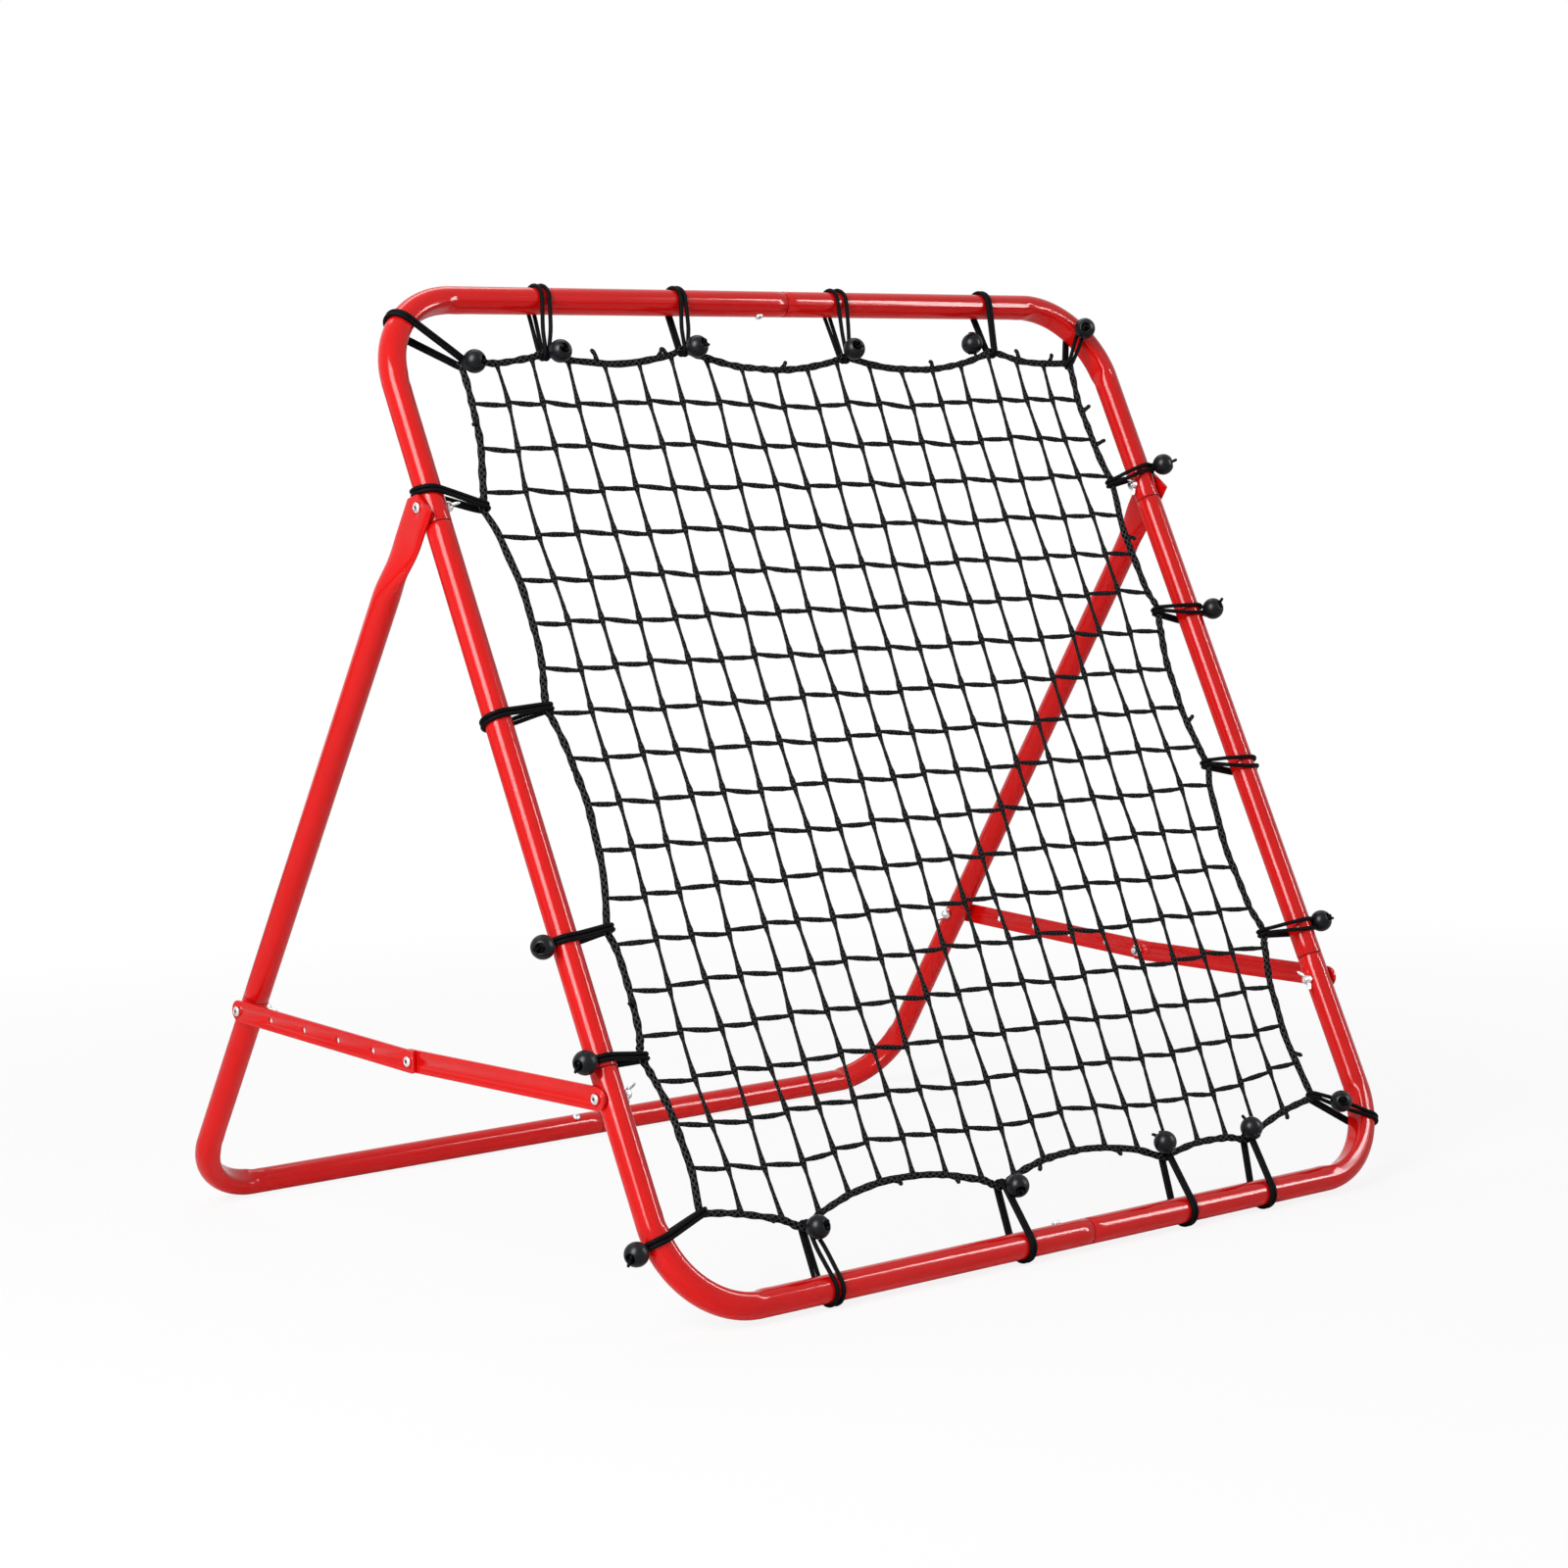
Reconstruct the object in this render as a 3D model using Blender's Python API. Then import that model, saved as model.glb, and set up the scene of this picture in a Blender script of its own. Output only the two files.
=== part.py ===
"""A football rebounder: a leaning tube frame with a net on elastic ties, held up by a folding stand.

The front frame is modelled in its own plane and leaned back, the stand hangs from the two pivot bolts, and a
two-strip strut on each side joins them at the adjusting bolt. Metres, +Z up, the net faces -Y, and the origin
is under the middle of the part, on the ground.
"""

from math import acos, asin, atan2, cos, pi, radians, sin, tan

import bmesh
import bpy
import numpy as np
from mathutils import Matrix, Vector

# Tube
TUBE_DIAMETER = 0.025
TUBE_WALL = 0.0012
SOCKET_DEPTH = 0.045
NECK_LENGTH = 0.004
TUBE_SIDES = 12
BEND_STEPS = 6

# Front frame, between tube axes
FRAME_WIDTH = 0.877
FRAME_HEIGHT = 0.955
FRAME_BEND = 0.085
FRAME_LEAN = radians(25.5)
CORNER_RISE = 0.223
TOP_SEAM = 0.032
BOTTOM_SEAM = 0.029

# Stand
STAND_DEPTH = 0.7895
STAND_OFFSET = 0.0188
STAND_BEND = 0.070
STAND_CORNER_RISE = 0.261
STAND_SEAM = 0.044

# Flattened end of a stand leg
PLATE_THICKNESS = 0.0035
PLATE_STRETCH = 0.99
PLATE_TIP = (-0.007, -0.0084, -0.0098, -0.011, -0.0066, -0.001)
PLATE_LENGTH = 0.028
CRUSH_LENGTH = 0.068
CRUSH_STEPS = 4
BORE_END = 0.012

# Bolts, with the nuts' turn in degrees
WING_SPINS = {"pivot": 78, "strut": 15, "rear": 40}
BOLT_DIAMETER = 0.006
BOLT_SIDES = 10
HEAD_DIAMETER = 0.0115
HEAD_HEIGHT = 0.0036
HEAD_FLAT_SHARE = 0.62
HEAD_EDGE_SHARE = 0.35
KEY_SIZE = 0.0022
KEY_DEPTH = 0.0022
PIVOT_ABOVE_SEAM = 0.0172
STRUT_BOLT_BELOW_SEAM = 0.0241
REAR_BOLT_BELOW_SEAM = 0.017
BOLT_PAST_NUT = 0.0015

# Strut
STRIP_WIDTH = 0.021
STRIP_THICKNESS = 0.003
HOLE_PITCH = 0.0583
HOLE_COUNT = 5
STRIP_SAG = radians(1.42)
STRIP_GAP = 0.0008
FRONT_STRIP_GAP = 0.0006
REAR_STRIP_GAP = 0.0008
END_STEPS = 6

# Wing nut and lock nut
HUB_DIAMETER = 0.0104
HUB_TOP_DIAMETER = 0.0088
HUB_HEIGHT = 0.0055
WING_SPAN = 0.0225
WING_HEIGHT = 0.0092
WING_THICKNESS = 0.0019
WING_ROOT_REACH = 0.001
WING_TIP_LOW = 0.0028
WING_TIP_HIGH = 0.0008
WING_TIP_IN = 0.0005
WING_TOP_IN = 0.0022
WING_FOOT_SHARES = (0.15, 0.3)
WING_HEAD_SHARES = (0.72, 0.85)
HUB_WAIST_SHARE = 0.5
LOCK_NUT_WIDTH = 0.0112
LOCK_NUT_HEIGHT = 0.006
NUT_SHOULDER_SHARE = 0.72
NUT_COLLAR_SHARE = 0.74

# Seam screw
SCREW_DIAMETER = 0.004
SCREW_HEAD_DIAMETER = 0.0082
SCREW_HEAD_HEIGHT = 0.0024
SCREW_REACH = 0.006
SCREW_FROM_SEAM = 0.032
SCREW_SIDES = 8
SCREW_EDGE_SHARE = 0.4
SCREW_TOP_SHARE = 0.6

# Net
MESHES = 15
PHOTO_MESHES = 19
STRAND_WIDTH = 0.0034
BORDER_WIDTH = 0.0062
NET_THICKNESS = 0.0036
BORDER_PULL = 5.5
TIE_PULL = 1000.0
STRAND_MARGIN = 0.3

# Ties
CORD_DIAMETER = 0.0035
BALL_DIAMETER = 0.0215
BALL_OVERLAP = 0.002
BALL_SIDES = 8
BALL_RINGS = 4

# Outline of two cords side by side in half diameters, and of the loop's end at the net in shares of its reach
CORD_SECTION = ((2, 0), (1.25, 1), (-1.25, 1), (-2, 0), (-1.25, -1), (1.25, -1))
HOOK_SECTION = ((-0.1, 1.0), (1.0, 0.6), (1.0, -0.6), (-0.1, -1.0))

# Clearance between touching pieces
GAP = 0.0003

FACET = 2 * pi / TUBE_SIDES
TUBE_RADIUS = TUBE_DIAMETER / 2
TUBE_FLAT = TUBE_RADIUS * cos(FACET / 2)
BORE_RADIUS = TUBE_RADIUS - TUBE_WALL
SPIGOT_RADIUS = BORE_RADIUS - GAP
SPIGOT_BORE = SPIGOT_RADIUS - TUBE_WALL
BOLT_RADIUS = BOLT_DIAMETER / 2
HOLE_RADIUS = BOLT_RADIUS + GAP
HALF_WIDTH = FRAME_WIDTH / 2
STAND_HALF_WIDTH = HALF_WIDTH + STAND_OFFSET
LOOP_FLAT = TUBE_FLAT + GAP + CORD_DIAMETER / 2
LOOP_RADIUS = LOOP_FLAT / cos(FACET / 2)
LOOP_REACH = LOOP_FLAT + CORD_DIAMETER / 2
NET_LOOP = BORDER_WIDTH / 2 + GAP + CORD_DIAMETER / 2

# The frame stands on the cords under its lower bar, the stand on its rear bar
FRAME_AXIS_HEIGHT = LOOP_REACH
STAND_AXIS_HEIGHT = TUBE_FLAT

UPPER_SEAM = FRAME_HEIGHT - CORNER_RISE
PIVOT_HEIGHT = UPPER_SEAM + PIVOT_ABOVE_SEAM
FRONT_BOLT_HEIGHT = CORNER_RISE - STRUT_BOLT_BELOW_SEAM

# Where the ties hold the net. Each row gives the mesh line on the border, the place on the net along the
# side, how far along the tube the loop is from there, how far the net lies inside the tube's axis, and the
# ball's place. A ball is in front of the net ("net", sideways shift), against the tube ("tube", degrees
# from outwards to the front) or on the front cord ("strand", share of the way from net to tube).
TOP_TIES = (
    (2.4, -0.604 * HALF_WIDTH, 0.020, 0.054, ("net", 0.004)),
    (6.4, -0.242 * HALF_WIDTH, 0.022, 0.053, ("net", 0.006)),
    (11.3, 0.208 * HALF_WIDTH, 0.015, 0.057, ("net", 0.003)),
    (16.15, 0.659 * HALF_WIDTH, 0.017, 0.051, ("net", -0.006)),
)
BOTTOM_TIES = (
    (2.5, -0.648 * HALF_WIDTH, 0.016, 0.056, ("net", 0.002)),
    (8.5, -0.121 * HALF_WIDTH, 0.011, 0.060, ("net", 0.003)),
    (13.8, 0.351 * HALF_WIDTH, 0.011, 0.055, ("net", -0.004)),
    (16.7, 0.611 * HALF_WIDTH, 0.004, 0.053, ("net", -0.004)),
)
LEFT_TIES = (
    (3.3, PIVOT_HEIGHT - 0.001, 0.0245, 0.054, ("tube", -130)),
    (7.85, 0.579 * FRAME_HEIGHT, 0.001, 0.056, ("tube", -130)),
    (12.6, 0.362 * FRAME_HEIGHT, -0.003, 0.050, ("tube", 4)),
    (15.4, FRONT_BOLT_HEIGHT + 0.030, 0.001, 0.044, ("tube", 26)),
)
RIGHT_TIES = (
    (3.2, PIVOT_HEIGHT + 0.003, 0.0205, 0.043, ("tube", 40)),
    (6.5, 0.636 * FRAME_HEIGHT, -0.002, 0.044, ("tube", 40)),
    (10.5, 0.458 * FRAME_HEIGHT, -0.004, 0.051, ("tube", -50)),
    (14.65, FRONT_BOLT_HEIGHT + 0.055, -0.002, 0.054, ("tube", 40)),
)

# Net corners: how far in from the upright and from the bar, the loop's place round the bend, and the ball
CORNER_TIES = {
    "top_left": (0.075, 0.063, 132, ("net", 0.0)),
    "top_right": (0.045, 0.064, 37, ("tube", 115)),
    "bottom_left": (0.053, 0.086, 193, ("tube", 0)),
    "bottom_right": (0.066, 0.084, 341, ("strand", 0.33)),
}

# Colours
RED = (0.52, 0.012, 0.022, 1.0)
ZINC = (0.72, 0.71, 0.68, 1.0)
BLACK_CORD = (0.012, 0.012, 0.013, 1.0)
BLACK_NET = (0.018, 0.018, 0.02, 1.0)


def clear_scene():
    for thing in list(bpy.data.objects):
        bpy.data.objects.remove(thing, do_unlink=True)


def material(name, colour, roughness, metallic):
    made = bpy.data.materials.new(name)
    made.use_nodes = True
    shader = made.node_tree.nodes["Principled BSDF"]
    shader.inputs["Base Color"].default_value = colour
    shader.inputs["Roughness"].default_value = roughness
    shader.inputs["Metallic"].default_value = metallic
    return made


def empty(name, parent, place, turn=None):
    """A guide whose origin is on a joint's axis."""
    made = bpy.data.objects.new(name, None)
    bpy.context.collection.objects.link(made)
    made.parent = parent
    made.matrix_local = Matrix.Translation(place) @ (turn or Matrix.Identity(4))
    return made


def solid(name, bm, parent, matrix, look, smooth_angle=35):
    """Links the finished bmesh as an object under its parent."""
    bmesh.ops.recalc_face_normals(bm, faces=bm.faces[:])
    mesh = bpy.data.meshes.new(name)
    bm.to_mesh(mesh)
    bm.free()
    mesh.shade_smooth()
    mesh.set_sharp_from_angle(angle=radians(smooth_angle))
    made = bpy.data.objects.new(name, mesh)
    bpy.context.collection.objects.link(made)
    made.parent = parent
    made.matrix_local = matrix
    if look:
        mesh.materials.append(look)
    return made


def helper(name, bm, parent, matrix):
    """A cutter, or a shape to be joined on, which isn't a sub-part itself."""
    made = solid(name, bm, parent, matrix, None)
    made.hide_render = True
    made.display_type = "WIRE"
    return made


def boolean(target, other, operation):
    step = target.modifiers.new(operation.lower() + "_" + other.name, "BOOLEAN")
    step.operation = operation
    step.object = other
    step.solver = "EXACT"


def rings_to_bmesh(rings, closed, caps=True):
    """Bridges each loop of points to the next. Closed joins the last to the first, else it caps both ends."""
    bm = bmesh.new()
    loops = [[bm.verts.new(point) for point in ring] for ring in rings]
    count = len(loops[0])
    pairs = list(zip(loops, loops[1:]))
    if closed:
        pairs.append((loops[-1], loops[0]))
    for first, second in pairs:
        for k in range(count):
            after = (k + 1) % count
            bm.faces.new((first[k], first[after], second[after], second[k]))
    if caps and not closed:
        bm.faces.new(loops[0][::-1])
        bm.faces.new(loops[-1])
    return bm, loops


def circle(radius, height, sides, hexagon=False):
    """One loop of a turned piece round its +Z axis. A hexagon has its flats halfway between its corners."""
    points = []
    for k in range(sides):
        angle = 2 * pi * (k + 0.5) / sides
        reach = radius
        if hexagon and k % 2:
            reach = radius * cos(pi / 6)
        points.append(Vector((reach * cos(angle), reach * sin(angle), height)))
    return points


def turned(profile, sides):
    """A solid turned round +Z from rows of radius and height."""
    rings = [circle(radius, height, sides) for radius, height in profile]
    return rings_to_bmesh(rings, closed=False)[0]


def rod(radius, start, end, sides=BOLT_SIDES):
    return turned(((radius, start), (radius, end)), sides)


# Turns +Z to +X, so that turned pieces point outwards on the right, and to -X for the left
TO_RIGHT = Matrix.Rotation(pi / 2, 4, "Y")
TO_LEFT = Matrix.Rotation(-pi / 2, 4, "Y")
SIDES = {"left": -1, "right": 1}


def outwards(side):
    return TO_RIGHT if side == "right" else TO_LEFT


# Tubes


def route(points):
    """Rows of point and outward way in the frame's plane, for a line that turns its outside to the right.

    The outward way is longer at a turn, so that the straights on both sides keep their full width.
    """
    rows = []
    for k, point in enumerate(points):
        here = Vector(point)
        before = here - Vector(points[k - 1]) if k else Vector(points[1]) - here
        after = Vector(points[k + 1]) - here if k < len(points) - 1 else before
        before.normalize()
        after.normalize()
        along = (before + after).normalized()
        rows.append((here, Vector((along.y, -along.x)) / along.dot(before)))
    return rows


def arc(centre, radius, start, end, steps):
    """Points along an arc, from the start angle to the end angle in degrees."""
    points = []
    for k in range(steps + 1):
        angle = radians(start + (end - start) * k / steps)
        points.append((centre[0] + radius * cos(angle), centre[1] + radius * sin(angle)))
    return points


def tube_ring(row, radius, roll):
    """A tube's cross-section, with a flat that faces the ground where the tube lies on it."""
    point, out = row
    ring = []
    for k in range(TUBE_SIDES):
        angle = roll + FACET * (k + 0.5)
        reach = radius * cos(angle)
        ring.append(Vector((point.x + out.x * reach, point.y + out.y * reach, radius * sin(angle))))
    return ring


def shifted(row, distance, direction):
    return (row[0] + direction * distance, row[1])


def pipe(points, roll, spigot_start=False, spigot_end=False):
    """A hollow tube along the points. A spigot is the narrowed end that slides into the next tube's bore."""
    rows = route(points)
    outer = [(row, TUBE_RADIUS) for row in rows]
    inner = [(row, BORE_RADIUS) for row in rows]
    if spigot_start:
        along = (rows[0][0] - rows[1][0]).normalized()
        tip = shifted(rows[0], SOCKET_DEPTH, along)
        outer = [(tip, SPIGOT_RADIUS), (rows[0], SPIGOT_RADIUS), *outer]
        inner[0] = (shifted(rows[0], -NECK_LENGTH, along), BORE_RADIUS)
        inner = [(tip, SPIGOT_BORE), (rows[0], SPIGOT_BORE), *inner]
    if spigot_end:
        along = (rows[-1][0] - rows[-2][0]).normalized()
        tip = shifted(rows[-1], SOCKET_DEPTH, along)
        outer = [*outer, (rows[-1], SPIGOT_RADIUS), (tip, SPIGOT_RADIUS)]
        inner[-1] = (shifted(rows[-1], -NECK_LENGTH, along), BORE_RADIUS)
        inner = [*inner, (rows[-1], SPIGOT_BORE), (tip, SPIGOT_BORE)]
    rings = [tube_ring(row, radius, roll) for row, radius in outer + inner[::-1]]
    return rings_to_bmesh(rings, closed=True)[0]


def frame_corner(top, right):
    """The route of one corner piece of the front frame, from its bar end to its upright end."""
    x = HALF_WIDTH - FRAME_BEND
    if top:
        seam = TOP_SEAM
        bar, centre, upright = FRAME_HEIGHT, FRAME_HEIGHT - FRAME_BEND, UPPER_SEAM
    else:
        seam = BOTTOM_SEAM
        bar, centre, upright = 0.0, FRAME_BEND, CORNER_RISE
    if right:
        start = (seam + GAP, bar)
        turn = (90, 0) if top else (270, 360)
        bend = arc((x, centre), FRAME_BEND, *turn, BEND_STEPS)
        end = (HALF_WIDTH, upright)
    else:
        start = (seam, bar)
        turn = (90, 180) if top else (270, 180)
        bend = arc((-x, centre), FRAME_BEND, *turn, BEND_STEPS)
        end = (-HALF_WIDTH, upright)
    return [start, *bend, end]


def stand_corner(right):
    """The route of one rear corner piece, with y down the leg from the pivot."""
    x = STAND_HALF_WIDTH - STAND_BEND
    centre = LEG_LENGTH - STAND_BEND
    seam = LEG_LENGTH - STAND_CORNER_RISE
    if right:
        bend = arc((x, centre), STAND_BEND, 90, 0, BEND_STEPS)
        return [(STAND_SEAM + GAP, LEG_LENGTH), *bend, (STAND_HALF_WIDTH, seam)]
    bend = arc((-x, centre), STAND_BEND, 90, 180, BEND_STEPS)
    return [(STAND_SEAM, LEG_LENGTH), *bend, (-STAND_HALF_WIDTH, seam)]


def clockwise(points, right, top):
    """Turns a route so that its outside lies to its right."""
    return points[::-1] if right == top else points


def leg(side):
    """A stand leg: crushed flat at the pivot, round below, and narrowed where it enters the corner piece."""
    sign = SIDES[side]
    end = LEG_LENGTH - STAND_CORNER_RISE - GAP
    plate_half = pi * TUBE_DIAMETER / 4 * PLATE_STRETCH
    plate_x = PLATE_THICKNESS / 2 + TUBE_RADIUS + GAP
    bore_start = PLATE_LENGTH + CRUSH_LENGTH + BORE_END

    def section(distance, flat, radius=TUBE_RADIUS, tip=None):
        centre = (1 - flat) * STAND_OFFSET + flat * plate_x
        ring = []
        for k in range(TUBE_SIDES):
            angle = STAND_ROLL + FACET * (k + 0.5)
            even = FACET * (k + 0.5)
            outboard = cos(even) > 0
            share = asin(sin(even)) / (pi / 2 - FACET / 2)
            across = (1 - flat) * radius * sin(angle) + flat * plate_half * share
            out = (1 - flat) * radius * cos(angle)
            out += flat * (PLATE_THICKNESS / 2 if outboard else -PLATE_THICKNESS / 2)
            along = distance
            if tip:
                along = tip[round((share + 1) / 2 * (len(tip) - 1))]
            ring.append(Vector((sign * (HALF_WIDTH + centre + out), along, across)))
        return ring

    inside = [section(bore_start, 0, BORE_RADIUS), section(end - NECK_LENGTH, 0, BORE_RADIUS)]
    inside.append(section(end, 0, SPIGOT_BORE))
    inside.append(section(end + SOCKET_DEPTH, 0, SPIGOT_BORE))
    outside = [section(end + SOCKET_DEPTH, 0, SPIGOT_RADIUS), section(end, 0, SPIGOT_RADIUS)]
    outside.append(section(end, 0))
    for k in range(CRUSH_STEPS + 1):
        step = k / CRUSH_STEPS
        flat = step * step * (3 - 2 * step)
        outside.append(section(PLATE_LENGTH + CRUSH_LENGTH * (1 - step), flat))
    outside.append(section(0, 1, tip=PLATE_TIP))
    bm, loops = rings_to_bmesh(inside + outside, closed=False, caps=False)
    bm.faces.new(loops[0])
    last = loops[-1]
    quarter = TUBE_SIDES // 4
    for k in range(TUBE_SIDES // 2 - 1):
        a = (quarter - 1 - k) % TUBE_SIDES
        b = (quarter + k) % TUBE_SIDES
        bm.faces.new((last[a], last[b], last[(b + 1) % TUBE_SIDES], last[(a - 1) % TUBE_SIDES]))
    return bm


def bolt_hole(name, parent, side, y, reach):
    """A cutter for a bolt hole across an upright or a leg."""
    start = -TUBE_RADIUS - GAP
    place = Matrix.Translation((SIDES[side] * HALF_WIDTH, y, 0)) @ outwards(side)
    return helper(name, rod(HOLE_RADIUS, start, reach), parent, place)


def screw_hole(name, parent, place, turn):
    """A cutter that starts in the bore, so that it goes through one wall only."""
    bm = rod(SCREW_DIAMETER / 2 + GAP, TUBE_RADIUS / 2, TUBE_RADIUS + GAP, SCREW_SIDES)
    return helper(name, bm, parent, Matrix.Translation(place) @ turn)


# Fasteners


def bolt(length):
    """A button-head bolt: the head's underside at the origin, its top up +Z and the shank down to -length."""
    head = HEAD_DIAMETER / 2
    rings = [
        circle(KEY_SIZE, HEAD_HEIGHT - KEY_DEPTH, BOLT_SIDES),
        circle(KEY_SIZE, HEAD_HEIGHT, BOLT_SIDES),
        circle(head * HEAD_FLAT_SHARE, HEAD_HEIGHT, BOLT_SIDES),
        circle(head, HEAD_HEIGHT * HEAD_EDGE_SHARE, BOLT_SIDES),
        circle(head, 0, BOLT_SIDES),
        circle(BOLT_RADIUS, 0, BOLT_SIDES),
        circle(BOLT_RADIUS, -length, BOLT_SIDES),
    ]
    return rings_to_bmesh(rings, closed=False)[0]


def wings():
    """Both ears of a wing nut, as two plates that start inside the hub's wall."""
    inner = (HUB_TOP_DIAMETER / 2 + HOLE_RADIUS) / 2
    tip = WING_SPAN / 2
    outline = (
        (inner, WING_FOOT_SHARES[0] * HUB_HEIGHT),
        (HUB_DIAMETER / 2 + WING_ROOT_REACH, WING_FOOT_SHARES[1] * HUB_HEIGHT),
        (tip, WING_HEIGHT - WING_TIP_LOW),
        (tip - WING_TIP_IN, WING_HEIGHT - WING_TIP_HIGH),
        (tip - WING_TOP_IN, WING_HEIGHT),
        (HUB_DIAMETER / 2, WING_HEAD_SHARES[0] * HUB_HEIGHT),
        (inner, WING_HEAD_SHARES[1] * HUB_HEIGHT),
    )
    bm = bmesh.new()
    for sign in (-1, 1):
        faces = []
        for half in (-WING_THICKNESS / 2, WING_THICKNESS / 2):
            faces.append([bm.verts.new((sign * x, half, z)) for x, z in outline])
        bm.faces.new(faces[0])
        bm.faces.new(faces[1][::-1])
        count = len(outline)
        for k in range(count):
            after = (k + 1) % count
            bm.faces.new((faces[0][k], faces[1][k], faces[1][after], faces[0][after]))
    return bm


def wing_nut(name, parent, side, y, seat, spin, look):
    """A wing nut seated inboard of a tube, its wings pointing inboard."""
    rings = [
        circle(HUB_DIAMETER / 2, 0, BOLT_SIDES),
        circle(HUB_DIAMETER / 2, HUB_HEIGHT * HUB_WAIST_SHARE, BOLT_SIDES),
        circle(HUB_TOP_DIAMETER / 2, HUB_HEIGHT, BOLT_SIDES),
        circle(HOLE_RADIUS, HUB_HEIGHT, BOLT_SIDES),
        circle(HOLE_RADIUS, 0, BOLT_SIDES),
    ]
    place = Matrix.Translation((SIDES[side] * seat, y, 0)) @ outwards(side)
    place = place @ Matrix.Rotation(pi, 4, "X") @ Matrix.Rotation(radians(spin), 4, "Z")
    nut = solid(name, rings_to_bmesh(rings, closed=True)[0], parent, place, look)
    boolean(nut, helper(name + "_ears", wings(), parent, place), "UNION")
    return nut


def lock_nut(length):
    """A hexagonal lock nut with the end of its bolt through it: seat at the origin, nut up +Z."""
    across = LOCK_NUT_WIDTH / 2 / cos(pi / 6)
    rings = [
        circle(BOLT_RADIUS, -length, TUBE_SIDES),
        circle(BOLT_RADIUS, 0, TUBE_SIDES),
        circle(across, 0, TUBE_SIDES, hexagon=True),
        circle(across, LOCK_NUT_HEIGHT * NUT_SHOULDER_SHARE, TUBE_SIDES, hexagon=True),
        circle(across * NUT_COLLAR_SHARE, LOCK_NUT_HEIGHT, TUBE_SIDES),
        circle(BOLT_RADIUS, LOCK_NUT_HEIGHT, TUBE_SIDES),
        circle(BOLT_RADIUS, LOCK_NUT_HEIGHT + BOLT_PAST_NUT, TUBE_SIDES),
    ]
    return rings_to_bmesh(rings, closed=False)[0]


def seam_screw():
    """A pan-head screw: its head's underside at the origin, its head up +Z."""
    head = SCREW_HEAD_DIAMETER / 2
    profile = (
        (SCREW_DIAMETER / 2, -SCREW_REACH),
        (SCREW_DIAMETER / 2, 0),
        (head, 0),
        (head, SCREW_HEAD_HEIGHT * SCREW_EDGE_SHARE),
        (head * SCREW_TOP_SHARE, SCREW_HEAD_HEIGHT),
    )
    return turned(profile, BOLT_SIDES)


# Strut


def strip(length):
    """A flat strip with round ends about two bolt axes: the first at the origin, the second at +Y."""
    half = STRIP_WIDTH / 2
    outline = arc((0, 0), half, 180, 360, END_STEPS) + arc((0, length), half, 0, 180, END_STEPS)
    bm = bmesh.new()
    face = bm.faces.new([bm.verts.new((STRIP_THICKNESS / 2, x, y)) for x, y in outline])
    made = bmesh.ops.extrude_face_region(bm, geom=[face])
    moved = [thing for thing in made["geom"] if isinstance(thing, bmesh.types.BMVert)]
    bmesh.ops.translate(bm, verts=moved, vec=(-STRIP_THICKNESS, 0, 0))
    bmesh.ops.transform(bm, verts=bm.verts[:], matrix=Matrix.Rotation(-pi / 2, 4, "X"))
    return bm


def strip_holes(places):
    """Cutters across a strip, one for each place along it."""
    bm = bmesh.new()
    for place in places:
        one = rod(HOLE_RADIUS, -STRIP_THICKNESS, STRIP_THICKNESS)
        bmesh.ops.transform(one, verts=one.verts[:], matrix=Matrix.Translation((0, place, 0)) @ TO_RIGHT)
        mesh = bpy.data.meshes.new("one_hole")
        one.to_mesh(mesh)
        one.free()
        bm.from_mesh(mesh)
        bpy.data.meshes.remove(mesh)
    return bm


def strip_piece(name, parent, tilt, length, holes, look):
    """A strip under its joint's empty, turned in plan so that it runs from one side's bolt to the other's."""
    turn = Matrix.Rotation(tilt, 4, "Z")
    made = solid(name, strip(length), parent, turn, look)
    boolean(made, helper(name + "_holes", strip_holes(holes), parent, turn), "DIFFERENCE")
    return made


# Net


def net_corners():
    """The net's corners in the frame's plane, as x and height."""
    corners = {}
    for name, (inset, drop, _, _) in CORNER_TIES.items():
        x = HALF_WIDTH - inset if "right" in name else inset - HALF_WIDTH
        corners[name] = Vector((x, FRAME_HEIGHT - drop if "top" in name else drop))
    return corners


def tie_points():
    """Every tie between the corners: name, side, mesh line, places on net and tube, outward way and ball."""
    rows = []
    sides = {"top": TOP_TIES, "bottom": BOTTOM_TIES, "left": LEFT_TIES, "right": RIGHT_TIES}
    for side, ties_there in sides.items():
        for number, (line, place, shift, inset, ball) in enumerate(ties_there, 1):
            if side in ("top", "bottom"):
                bar = FRAME_HEIGHT if side == "top" else 0.0
                out = Vector((0, 1)) if side == "top" else Vector((0, -1))
                on_net = Vector((place, bar)) - out * inset
                on_tube = Vector((place + shift, bar))
            else:
                out = Vector((SIDES[side], 0))
                on_net = Vector((SIDES[side] * (HALF_WIDTH - inset), place))
                on_tube = Vector((SIDES[side] * HALF_WIDTH, place + shift))
            rows.append((f"tie_{side}_{number}", side, line, on_net, on_tube, out, ball))
    return rows


def clear_line(line):
    """The place on this net's border for one of the photographed net's, kept clear of the strands."""
    scaled = line * MESHES / PHOTO_MESHES
    whole = int(scaled)
    return whole + min(max(scaled - whole, STRAND_MARGIN), 1 - STRAND_MARGIN)


def border_nodes(side):
    """Grid indices along one side of the net: left to right, or top to bottom."""
    if side == "top":
        return [(k, 0) for k in range(MESHES + 1)]
    if side == "bottom":
        return [(k, MESHES) for k in range(MESHES + 1)]
    if side == "left":
        return [(0, k) for k in range(MESHES + 1)]
    return [(MESHES, k) for k in range(MESHES + 1)]


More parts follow.
